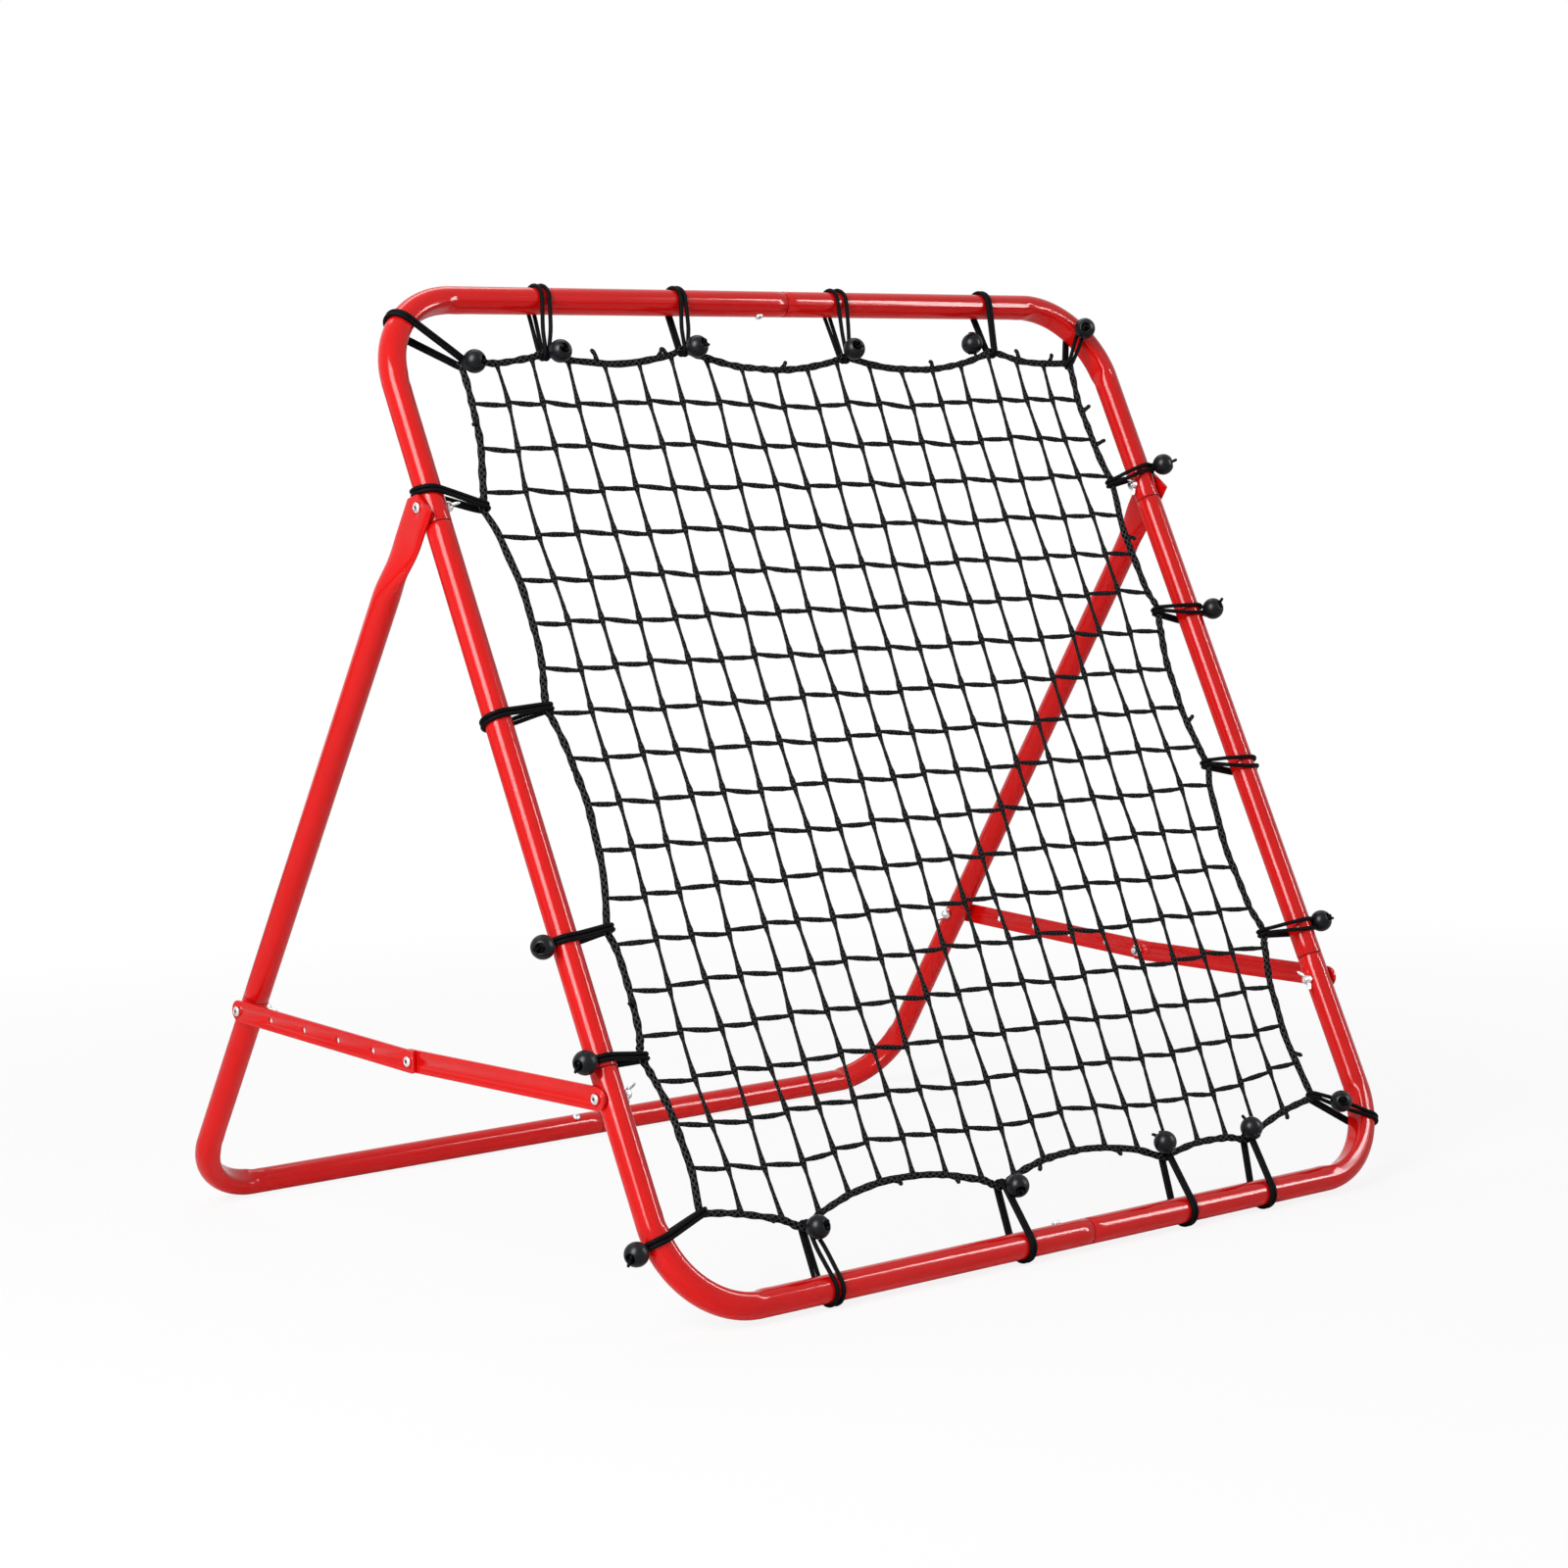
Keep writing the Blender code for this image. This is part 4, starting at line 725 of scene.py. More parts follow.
def wing_nut_patches(place, axis, spin):
    """A wing nut: a flared hub with a hole, and two wings of a rounded section that curve up and out.

    A wing's middle lies at 4.7 + 6.5 s^0.9 mm out and 3.0 + 5.8 s^1.2 mm up for s from 0 to 1. Its section
    is a circle's cosine and sine to the power 0.7, and rounds off towards its end.
    """
    axis = unit(np.asarray(axis, float))
    first = unit(np.cross(axis, (0.0, cos(spin), sin(spin))))
    across = np.cross(axis, first)
    rows = [(0.0034, 0.0), (0.0049, 0.0), (0.0052, 0.0004), (0.0051, 0.0026), (0.0046, 0.0048)]
    rows += [(0.0043, 0.0054), (0.0040, 0.0057), (0.0034, 0.0057)]
    patches = [Patch(revolved(rows, FINE_SIDES, axis, place), along=True)]
    share = np.linspace(0, 1, 15)
    out = 0.0047 + 0.0065 * share ** 0.9
    rise = 0.0030 + 0.0058 * share ** 1.2
    end = np.sqrt(np.clip(1 - ((share - 0.62) / 0.38).clip(0) ** 2.4, 0.004, 1))
    tall = (0.0020 + 0.0005 * np.sin(pi * share)) * end
    thick = (0.0013 - 0.0004 * share) * (0.35 + 0.65 * end)
    angle = turns(WING_SIDES)
    section = signed_power(np.stack([np.cos(angle), np.sin(angle)], axis=-1), 0.7)
    for sign in (-1, 1):
        middle = place + sign * out[:, None] * first + rise[:, None] * axis
        up = np.cross(unit(np.gradient(middle, axis=0)), across)
        ring = section[:, 0, None] * up[:, None, :] * tall[:, None, None]
        ring = ring + section[:, 1, None] * across * thick[:, None, None]
        patches.append(Patch((middle[:, None, :] + ring)[:, ::-1]))
    return patches


# Strut strips

STRIP_THICKNESS = 0.003
STRIP_HALF = 0.0105
STRIP_EDGE = 0.0004
JOINT_END = 0.0082
JOINT_SQUARE = 0.3
HOLE_PITCH = 0.0583
HOLE_COUNT = 6
STRIP_LENGTHS = {"front": 0.274714, "rear": 0.2915}
STRIP_ANGLES = {"front": radians(0.29712), "rear": radians(-176.77609)}
STRIP_TILTS = {"front": -0.026848, "rear": 0.026848}
STRIP_OUT = {"front": 0.4531, "rear": 0.4721}
STRIP_BOLTS = {
    "front": np.array((0.0, -0.3072214, 0.1953983)),
    "rear": np.array((0.0, 0.2585275, 0.2132163)),
}


def strip_ways(sign, kind):
    """Along, across and outboard directions of a strut strip."""
    angle = STRIP_ANGLES[kind]
    lean = sign * STRIP_TILTS[kind]
    along = np.array((0.0, cos(angle), sin(angle)))
    across = np.array((0.0, -sin(angle), cos(angle)))
    return cos(lean) * along - sin(lean) * X_WAY, across, cos(lean) * X_WAY + sin(lean) * along


def strip_place(sign, kind):
    """The middle of a strip where its bolt holds it to the tube."""
    return STRIP_BOLTS[kind] + sign * STRIP_OUT[kind] * X_WAY


def strip(side, kind):
    """A flat strip with bolt holes and rounded edges: half-round at the tube, squarer at the joint.

    The joint's end is (|cos a|^0.3, sign(sin a) |sin a|^0.3), a circle bent towards a square.
    """
    sign = SIDES[side]
    along, across, outboard = strip_ways(sign, kind)
    length = STRIP_LENGTHS[kind]
    place = strip_place(sign, kind)
    angle = np.linspace(-pi / 2, pi / 2, 19)
    joint = length + JOINT_END * np.abs(np.cos(angle)) ** JOINT_SQUARE
    ends = np.concatenate([
        np.stack([joint, STRIP_HALF * signed_power(np.sin(angle), JOINT_SQUARE)], axis=-1),
        np.stack([-STRIP_HALF * np.cos(angle), -STRIP_HALF * np.sin(angle)], axis=-1),
    ])
    half = STRIP_THICKNESS / 2
    flat = place + ends[:, :1] * along + ends[:, 1:] * across
    points = np.stack([flat - half * outboard, flat + half * outboard])
    if np.dot(np.cross(along, across), outboard) > 0:
        points = points[:, ::-1]
    made = piece(
        f"strut_{kind}_{side}_strip", [Patch(points)], [RED], f"strut_{kind}_{side}",
        [f"strip_{kind}_{side}"],
    )
    holes = (0, length) if kind == "front" else [HOLE_PITCH * k for k in range(HOLE_COUNT)]
    cut(made, [hole_cutter(outboard, place + hole * along) for hole in holes])
    step = made.modifiers.new("edges", "BEVEL")
    step.width, step.segments = STRIP_EDGE, 2
    step.limit_method, step.angle_limit = "ANGLE", radians(40)
    return made


# Height of a bolt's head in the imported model, an adjusting bolt's shank, and how far each screw sits beside
# its seam
CAD_HEAD_HEIGHT = 0.0036
ADJUSTING_LENGTH = 0.0037
SCREW_BESIDE = 0.032
SPINS = {
    "pivot_left": 1.25, "pivot_right": 2.67, "strut_left": 0.5, "strut_right": 2.41, "rear_left": 1.81,
    "rear_right": 0.9,
}
BOLTS = (
    ("pivot", "front_frame", PIVOT),
    ("strut", "front_frame", STRIP_BOLTS["front"]),
    ("rear", "rear_stand", STRIP_BOLTS["rear"]),
)


def fastener(node, ending, patches, body, looks):
    """A fastener's piece, which stands for the node of its name."""
    piece(f"{node}_{ending}", patches, looks, body, [node])


def pivot_fasteners(side, kind, body, place):
    """A bolt across a tube, with its wing nut at the inner end."""
    sign = SIDES[side]
    low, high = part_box(f"{kind}_bolt_{side}")
    outer = high[0] if sign > 0 else low[0]
    seat = np.array((outer - sign * CAD_HEAD_HEIGHT, place[1], place[2]))
    bolt = bolt_patches(seat, sign * X_WAY, high[0] - low[0] - CAD_HEAD_HEIGHT)
    fastener(f"{kind}_bolt_{side}", "button_head", bolt, body, [ZINC, SOCKET_SHADE_AND_NYLON])
    low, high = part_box(f"wing_nut_{kind}_{side}")
    seat = np.array((high[0] if sign > 0 else low[0], place[1], place[2]))
    nut = wing_nut_patches(seat, -sign * X_WAY, SPINS[f"{kind}_{side}"])
    fastener(f"wing_nut_{kind}_{side}", "casting", nut, f"wing_nut_{kind}_{side}", [ZINC])


def joint_seat(sign, kind, outwards):
    """Where a fastener sits on a strip's joint end, and its way: outboard, or inboard for -1."""
    along, _, outboard = strip_ways(sign, kind)
    joint = strip_place(sign, kind) + STRIP_LENGTHS[kind] * along
    way = outwards * sign * outboard
    return joint + way * (STRIP_THICKNESS / 2 + SEAM_GAP), way


for side, sign in SIDES.items():
    leg = red_tube(f"stand_leg_{side}", leg_patches(sign), "rear_stand")
    cut(leg, [hole_cutter(X_WAY, PIVOT + sign * (HALF_WIDTH + PLATE_OUT) * X_WAY)])
    leg.modifiers.new("triangles", "TRIANGULATE")
    for kind in ("front", "rear"):
        strip(side, kind)
    for kind, body, place in BOLTS:
        pivot_fasteners(side, kind, body, place)
    seat, way = joint_seat(sign, "rear", 1)
    bolt = bolt_patches(seat, way, ADJUSTING_LENGTH)
    fastener(f"adjusting_bolt_{side}", "button_head", bolt, f"strut_rear_{side}", [ZINC, SOCKET_SHADE_AND_NYLON])
    seat, way = joint_seat(sign, "front", -1)
    fastener(f"lock_nut_{side}", "nylon_ring", nut_patches(seat, way), f"strut_front_{side}", [ZINC, SOCKET_SHADE_AND_NYLON])

TOP_SCREW = in_frame((TOP_SEAM - SCREW_BESIDE, FRAME_HEIGHT - TUBE_RADIUS - SEAM_GAP, 0))
BOTTOM_SCREW = in_frame((BOTTOM_SEAM - SCREW_BESIDE, TUBE_RADIUS + SEAM_GAP, 0))
REAR_SCREW = in_stand((STAND_SEAM - SCREW_BESIDE, LEG_LENGTH - TUBE_RADIUS - SEAM_GAP, 0))
for name, place, axis, body in (
    ("screw_top", TOP_SCREW, -FRAME_WAYS[1], "front_frame"),
    ("screw_bottom", BOTTOM_SCREW, FRAME_WAYS[1], "front_frame"),
    ("screw_rear", REAR_SCREW, -STAND_WAYS[1], "rear_stand"),
):
    fastener(name, "pan_head", [screw_patch(place, axis)], body, [ZINC])

# Net

MESHES = 19
COUNT = MESHES + 1
BORDER_PULL = 7.0
# For each tie: mesh line on the border, place along the side, distance inside the tube's axis, the loop's
# shift along the tube, half the cords' spacing on the front of the tube, behind it and beside the ball, the
# ball's place and the way its socket faces
TIES = {
    "top": (
        (2.4, -0.268, 0.054, 0.0110, 0.0040, 0.0032, 0.0046, (-0.260, 0.896, 0.014), (-0.14, -0.17, 1.0)),
        (6.4, -0.106, 0.0495, 0.0080, 0.0027, 0.0020, 0.0044, (-0.100, 0.901, 0.014), (0.25, -0.03, 1.0)),
        (11.3, 0.0912, 0.057, 0.0080, 0.0055, 0.0033, 0.0042, (0.094, 0.899, 0.014), (-0.30, -0.05, 0.92)),
        (16.15, 0.289, 0.051, 0.0060, 0.0020, 0.0020, 0.0020, (0.275, 0.917, -0.008), (-0.2, -0.9, -0.2)),
    ),
    "bottom": (
        (2.5, -0.282, 0.056, 0.0060, 0.0037, 0.0028, 0.0045, (-0.2795, 0.052, 0.014), (0.30, -0.15, 0.96)),
        (8.5, -0.053, 0.0565, 0.0030, 0.0020, 0.0020, 0.0020, (-0.046, 0.052, 0.014), (-0.35, -0.60, 0.60)),
        (13.8, 0.156, 0.052, 0.0010, 0.0020, 0.0020, 0.0020, (0.148, 0.064, 0.014), (-0.1, 0.9, -0.35)),
        (16.7, 0.268, 0.053, -0.0040, 0.0020, 0.0020, 0.0020, (0.264, 0.061, 0.014), (0.1, 0.9, -0.35)),
    ),
    "left": (
        (3.3, 0.7475, 0.0515, 0.0130, 0.0020, 0.0020, 0.0020, (-0.423, 0.766, -0.0195), (0.2, 0.6, -0.8)),
        (7.85, 0.553, 0.0535, -0.0060, 0.0020, 0.0022, 0.0020, (-0.423, 0.552, -0.0195), (0.2, 0.6, -0.8)),
        (12.6, 0.3457, 0.0465, -0.0070, 0.0020, 0.0020, 0.0020, (-0.464, 0.336, 0.003), (-0.75, -0.25, 0.60)),
        (15.4, 0.228, 0.0415, 0.0020, 0.0020, 0.0020, 0.0020, (-0.4615, 0.229, 0.010), (-1.0, -0.2, 0.2)),
    ),
    "right": (
        (3.2, 0.752, 0.043, 0.0105, 0.0030, 0.0020, 0.0030, (0.456, 0.762, 0.020), (0.60, -0.15, 0.75)),
        (6.5, 0.607, 0.042, -0.0060, 0.0045, 0.0020, 0.0030, (0.456, 0.598, 0.018), (0.30, 0.05, 1.0)),
        (10.5, 0.4374, 0.0485, -0.0070, 0.0052, 0.0020, 0.0035, (0.4565, 0.4325, -0.0185), (0.78, -0.2, 0.5)),
        (14.65, 0.254, 0.0525, -0.0010, 0.0052, 0.0020, 0.0030, (0.4585, 0.254, 0.012), (0.35, 0.10, 1.0)),
    ),
}
# For each corner tie: distance inside the upright, distance inside the bar, the loop's place round the bend
# in degrees, and the rest as above
CORNERS = {
    "top_left": (0.075, 0.063, 136, 0.0020, 0.0024, 0.0020, (-0.358, 0.8855, 0.014), (0.50, -0.30, 0.80)),
    "top_right": (0.045, 0.064, 41, 0.0042, 0.0020, 0.0030, (0.4095, 0.919, 0.0225), (-0.62, -0.22, 0.76)),
    "bottom_left": (0.053, 0.086, 191, 0.0020, 0.0020, 0.0020, (-0.4615, 0.0625, 0.001), (-0.9, -0.3, 0.2)),
    "bottom_right": (0.064, 0.081, 335.5, 0.0020, 0.0020, 0.0040, (0.39, 0.068, 0.019), (-0.62, -0.2, 0.77)),
}
TieRow = namedtuple("TieRow", "name side line net tube out rest")


def from_corner(name, inset, drop):
    """The point at these distances inside the upright and the bar of one corner of the frame."""
    x = HALF_WIDTH - inset
    return np.array((x if "right" in name else -x, FRAME_HEIGHT - drop if "top" in name else drop))


def border_index(side):
    """Grid indices along one side of the net: left to right, or top to bottom."""
    line = np.arange(COUNT)
    lines = {
        "top": line, "bottom": line + MESHES * COUNT, "left": line * COUNT, "right": line * COUNT + MESHES,
    }
    return lines[side]


def tie_rows():
    """Each tie's name, side, mesh line, places on net and tube, outward way, cord spacings and ball."""
    rows = []
    for side, ties in TIES.items():
        for number, (line, at, inset, shift, *rest) in enumerate(ties, 1):
            if side in SIDES:
                sign = SIDES[side]
                net, tube = (sign * (HALF_WIDTH - inset), at), (sign * HALF_WIDTH, at + shift)
                out = (sign, 0.0)
            else:
                bar, up = (FRAME_HEIGHT, 1.0) if side == "top" else (0.0, -1.0)
                net, tube = (at, bar - up * inset), (at + shift, bar)
                out = (0.0, up)
            rows.append(TieRow(f"tie_{side}_{number}", side, line, net, tube, out, rest))
    return rows


def hung_net():
    """Rest places of the knots and ties: a strand pulls in proportion to its length, and ties hold still.

    The places solve one set of linear equations, in which the pulls on each free knot add up to nothing.
    Returns them, and for each side the indices of its knots and ties in order.
    """
    grid = np.arange(COUNT * COUNT).reshape(COUNT, COUNT)
    rows = tie_rows()
    inner = [(grid[1:-1, :-1], grid[1:-1, 1:]), (grid[:-1, 1:-1], grid[1:, 1:-1])]
    ends = [np.stack([a.ravel(), b.ravel()], axis=-1) for a, b in inner]
    pulls = [np.ones(len(pair)) for pair in ends]
    chains = {}
    for side in TIES:
        chain = [(float(k), node) for k, node in enumerate(border_index(side).tolist())]
        chain += [(row.line, COUNT * COUNT + k) for k, row in enumerate(rows) if row.side == side]
        chain.sort()
        chains[side] = np.array([node for _, node in chain])
        steps = np.diff([at for at, _ in chain])
        ends.append(np.stack([chains[side][:-1], chains[side][1:]], axis=-1))
        pulls.append(BORDER_PULL / steps)
    ends = np.concatenate(ends)
    pulls = np.concatenate(pulls)
    total = COUNT * COUNT + len(rows)
    matrix = np.zeros((total, total))
    for one, other in ((0, 0), (1, 1)):
        np.add.at(matrix, (ends[:, one], ends[:, other]), pulls)
    for one, other in ((0, 1), (1, 0)):
        np.add.at(matrix, (ends[:, one], ends[:, other]), -pulls)
    places = np.zeros((total, 2))
    fixed = [grid[0, 0], grid[0, -1], grid[-1, 0], grid[-1, -1]] + list(range(COUNT * COUNT, total))
    places[fixed[:4]] = [from_corner(name, *CORNERS[name][:2]) for name in CORNERS]
    places[fixed[4:]] = [row.net for row in rows]
    free = np.setdiff1d(np.arange(total), fixed)
    places[free] = np.linalg.solve(matrix[np.ix_(free, free)], -matrix[np.ix_(free, fixed)] @ places[fixed])
    return places, chains


def curve_through(places, per, tension=0.5):
    """Points on a smooth line through places [..., k, xyz]: Catmull-Rom, per points to each stretch."""
    before = np.concatenate([2 * places[..., :1, :] - places[..., 1:2, :], places[..., :-1, :]], axis=-2)
    after = np.concatenate([places[..., 1:, :], 2 * places[..., -1:, :] - places[..., -2:-1, :]], axis=-2)
    slope = (after - before) * tension
    t = (np.arange(per) / per)[:, None]
    a, b = places[..., :-1, None, :], places[..., 1:, None, :]
    ma, mb = slope[..., :-1, None, :], slope[..., 1:, None, :]
    line = (2 * t ** 3 - 3 * t ** 2 + 1) * a + (t ** 3 - 2 * t ** 2 + t) * ma
    line = line + (3 * t ** 2 - 2 * t ** 3) * b + (t ** 3 - t ** 2) * mb
    line = line.reshape(*places.shape[:-2], -1, places.shape[-1])
    return np.concatenate([line, places[..., -1:, :]], axis=-2)


STRAND = 0.0018
STRAND_RINGS = 8
STRAND_SIDES = 8
JOINT_SWELL = 0.0016
JOINT_SPREAD = 0.13
CROSS_STRAND = 0.0023
CROSS_RINGS = 9
JOINT_HALF = 0.0018
ROPE_RADIUS = 0.0033
ROPE_RINGS = 14
ROPE_SIDES = 12
ROPE_TWIST = 0.00022
NET_SAG = 0.004
NET_SLACK = 0.0008
NET_WANDER = 0.0015
NET_FRONT = (0, 0, 1.0)
ROW_NO, COLUMN_NO = np.mgrid[0:COUNT, 0:COUNT]


def net_knots(places):
    """The knots' places in three dimensions: the net sags like a sine both ways, and each knot wanders.

    The slack out of the plane is a product of two sines of the row and column numbers, and the wander in it
    is a sine of them sideways and a cosine of them up.
    """
    flat = places[: COUNT * COUNT].reshape(COUNT, COUNT, 2)
    slack = np.sin(1.7 * ROW_NO + 2.3 * COLUMN_NO) * np.sin(0.9 * ROW_NO - 1.3 * COLUMN_NO)
    sag = -NET_SAG * np.sin(pi * ROW_NO / MESHES) * np.sin(pi * COLUMN_NO / MESHES) + NET_SLACK * slack
    knots = np.concatenate([flat, sag[..., None]], axis=-1)
    sideways = np.sin(2.1 * COLUMN_NO + 5.3 * ROW_NO)
    wander = np.stack([sideways, np.cos(3.7 * ROW_NO + 1.9 * COLUMN_NO)], axis=-1)
    knots[1:-1, 1:-1, :2] += (NET_WANDER * wander)[1:-1, 1:-1]
    return knots


def upright_strands(knots):
    """The strands down the net, on smooth lines through its knots.

    Their radius is 1.8 mm times 0.70 below each joint, growing by 0.48 towards the next, plus a bell at each.
    """
    lines = curve_through(np.swapaxes(knots, 0, 1)[1:-1], STRAND_RINGS)
    ring = np.arange(lines.shape[-2])
    step = ring % STRAND_RINGS
    near = np.minimum(step, STRAND_RINGS - step) / STRAND_RINGS
    thick = STRAND * (0.70 + 0.48 * step / STRAND_RINGS) + JOINT_SWELL * np.exp(-((near / JOINT_SPREAD) ** 2))
    thick = thick * (1 + 0.06 * np.sin(2.4 * ring + 0.7))
    return Patch(in_frame(carried(lines, thick, STRAND_SIDES, NET_FRONT)))


def cross_strands(knots):
    """The strands across each mesh, from the upper end of one joint to the lower end of the next.

    Each eases away from its joints, dips by up to a millimetre, and is thickest in its middle, as a sine.
    """
    up_ways = unit(np.gradient(knots, axis=0)) * -1
    left = knots[1:-1, :-1] + up_ways[1:-1, :-1] * JOINT_HALF
    right = knots[1:-1, 1:] - up_ways[1:-1, 1:] * JOINT_HALF
    t = np.linspace(0, 1, CROSS_RINGS)[:, None]
    ease = t + 0.10 * np.sin(2 * pi * t)
    lines = left[..., None, :] * (1 - ease) + right[..., None, :] * ease
    lines = lines + (right - left)[..., None, :] * (t - ease)
    dip = 0.0006 * np.sin(3.1 * ROW_NO[1:-1, :-1] + 1.3 * COLUMN_NO[1:-1, :-1])
    lines[..., 1] += (dip[..., None] - 0.0005) * np.sin(pi * t[:, 0])
    ring = np.arange(CROSS_RINGS)
    thick = CROSS_STRAND * (0.58 + 0.54 * np.sin(pi * t[:, 0]) + 0.06 * np.sin(2.9 * ring))
    return Patch(in_frame(carried(lines.reshape(-1, CROSS_RINGS, 3), thick, STRAND_SIDES, NET_FRONT)))


def border_rope(nodes):
    """The border rope along one side: a two-stranded twist with slow lumps, sines of the ring's number."""
    line = curve_through(np.concatenate([nodes, np.zeros((len(nodes), 1))], axis=-1), ROPE_RINGS, 0.42)
    ring = np.arange(len(line))
    lumps = 1 + 0.06 * np.sin(1.15 * ring) + 0.09 * np.sin(0.37 * ring + 1.0) * np.sin(0.23 * ring)
    twist = ROPE_TWIST * np.cos(2 * (turns(ROPE_SIDES)[None, :] - 0.55 * ring[:, None]))
    line[:, 2] += 0.0006 * np.sin(0.31 * ring)
    radii = ROPE_RADIUS * lumps[:, None] + twist
    return Patch(in_frame(carried(line, radii, ROPE_SIDES, NET_FRONT)), look=1)


# Cut ends of twine that stick out of each side: mesh line, length, lean along the border, and height
TAILS = {
    "top": (
        (3.8, 0.013, -0.4, 0.004), (5.6, 0.0105, 0.7, 0.003), (5.85, 0.009, -0.9, 0.004),
        (9.2, 0.008, 0.8, 0.004), (14.0, 0.008, -0.5, 0.005), (17.1, 0.011, -0.2, 0.003),
        (18.2, 0.0105, 0.6, 0.004),
    ),
    "right": (
        (1.3, 0.0105, -0.5, 0.004), (2.2, 0.0135, -0.3, 0.004), (4.6, 0.0095, 0.4, 0.003),
        (9.4, 0.008, -0.7, 0.004), (17.8, 0.0095, 0.5, 0.003),
    ),
    "bottom": (
        (1.6, 0.007, 0.9, 0.004), (5.4, 0.008, 0.8, 0.003), (7.1, 0.0095, 0.5, 0.004),
        (9.8, 0.009, -0.6, 0.004), (12.2, 0.0105, 0.9, 0.003), (18.0, 0.0095, -0.3, 0.004),
    ),
    "left": ((1.4, 0.008, 0.6, 0.004), (9.3, 0.007, -0.8, 0.003), (14.2, 0.008, 0.5, 0.004)),
}
TAIL_RADIUS = 0.0019
TAIL_SHARES = (1.5, 1.4, 1.2, 1.05, 1.1, 1.15, 0.8)
OUT_WAYS = {"top": (0, 1), "bottom": (0, -1), "left": (-1, 0), "right": (1, 0)}


def cut_ends(places):
    """Short tails of twine: a straight way out of the border, bent by t (1 - t) and lifted by a sine."""
    t = np.linspace(0, 1, len(TAIL_SHARES))[:, None]
    tails = []
    for side, (line, length, lean, lift) in [(side, tail) for side in TAILS for tail in TAILS[side]]:
        nodes = places[border_index(side)]
        low = int(line)
        start = nodes[low] * (1 - line + low) + nodes[low + 1] * (line - low)
        way = unit(nodes[low + 1] - nodes[low])
        reach = unit(np.array(OUT_WAYS[side], float) + lean * way) * length
        flat = start + t * reach + (t * (1 - t)) * way * length * 0.08
        tails.append(np.concatenate([flat, lift * np.sin(pi * t * 0.7)], axis=-1))
    radii = TAIL_RADIUS * np.array(TAIL_SHARES)
    return Patch(in_frame(carried(np.array(tails), radii, STRAND_SIDES, (0.1, 0.2, 1.0))))


places, chains = hung_net()
knots = net_knots(places)
net_patches = [upright_strands(knots), cross_strands(knots)]
net_patches += [border_rope(places[chain]) for chain in chains.values()]
net_patches.append(cut_ends(places))
piece("net_twine_and_border_rope", net_patches, [TWINE, ROPE], "front_frame", ["net"], sharp=80)

# Ties

# How much higher some loops lie behind the tube than in front of it
BEHIND = {"tie_left_1": 0.009, "tie_left_2": -0.004}
CORD = 0.0020
CORD_SIDES = 12
BALL = 0.01085
# Radius of a cord's middle round the tube, which it presses on by a hair, and round the border rope
WRAP = TUBE_RADIUS + CORD - 0.00015
HOOK = ROPE_RADIUS + CORD + 0.0002
TUBE_POINTS = 30
ROPE_POINTS = 12
RUN_POINTS = 12
KNOT_SHARES = np.array((1, 1.1, 1.2, 1.0, 0.95, 1, 0.8))


def belt(span):
    """A closed line round the tube (at out = span) and the border rope (at 0): two arcs and two straights.

    Returns out and height in front for each point, the share of the way from net to tube, and the share
    of the way from the back to the front.
    """
    lean = np.arcsin((WRAP - HOOK) / span)
    tube = np.linspace(-pi / 2 - lean, pi / 2 + lean, TUBE_POINTS)
    rope = np.linspace(pi / 2 + lean, 3 * pi / 2 - lean, ROPE_POINTS)
    big = np.stack([span + WRAP * np.cos(tube), WRAP * np.sin(tube)], axis=-1)
    small = np.stack([HOOK * np.cos(rope), HOOK * np.sin(rope)], axis=-1)
    step = np.linspace(0, 1, RUN_POINTS + 2)[1:-1, None]
    front = big[-1] * (1 - step) + small[0] * step
    back = small[-1] * (1 - step) + big[0] * step
    line = np.concatenate([big, front, small, back])
    share = np.concatenate([np.ones(TUBE_POINTS), 1 - step[:, 0], np.zeros(ROPE_POINTS), step[:, 0]])
    ahead = np.concatenate([
        np.linspace(0, 1, TUBE_POINTS), np.ones(RUN_POINTS), np.linspace(1, 0, ROPE_POINTS),
        np.zeros(RUN_POINTS),
    ])
    return line, share, ahead


def smooth_loop(values, passes):
    """A closed row of values, each replaced by (one before + 2 own + one after) / 4, in so many passes."""
    for _ in range(passes):
        values = (np.roll(values, 1, axis=0) + 2 * values + np.roll(values, -1, axis=0)) / 4
    return values


def ball_patches(place, axis, seed):
    """A moulded ball with a neck where the cord goes in and an open socket with the knotted cord ends."""
    mouth = np.arcsin(0.0048 / BALL)
    rows = [(0.0006, BALL - 0.0066), (0.0034, BALL - 0.0064), (0.0040, BALL - 0.0040)]
    rows += [(0.0043, BALL - 0.0022), (0.0046, BALL * cos(mouth) - 0.0003)]
    rows += [(BALL * sin(mouth + 0.03), BALL * cos(mouth + 0.03) - 0.00005)]
    rows += [(BALL * sin(a), BALL * cos(a)) for a in np.linspace(mouth + 0.07, pi - 0.42, 24)]
    rows += [(0.0041, -BALL * 0.955), (0.0040, -BALL * 1.03), (0.0036, -BALL * 1.07), (0.0006, -BALL * 1.07)]
    patches = [Patch(revolved(rows[::-1], FINE_SIDES, axis, place), look=1)]
    axis, first, second = axis_ways(axis)
    t = np.linspace(0, 1, len(KNOT_SHARES))[:, None]
    for turn, reach, rise in ((0.4 + seed, 0.0038, 0.0095), (2.9 + seed, 0.0022, 0.0066)):
        way = cos(turn) * first + sin(turn) * second
        line = place + axis * (BALL - 0.0062 + rise * t) + way * (0.0013 + reach * t ** 2)
        patches.append(Patch(carried(line, CORD * 0.8 * KNOT_SHARES, 10, first + 0.3 * axis)))
    return patches


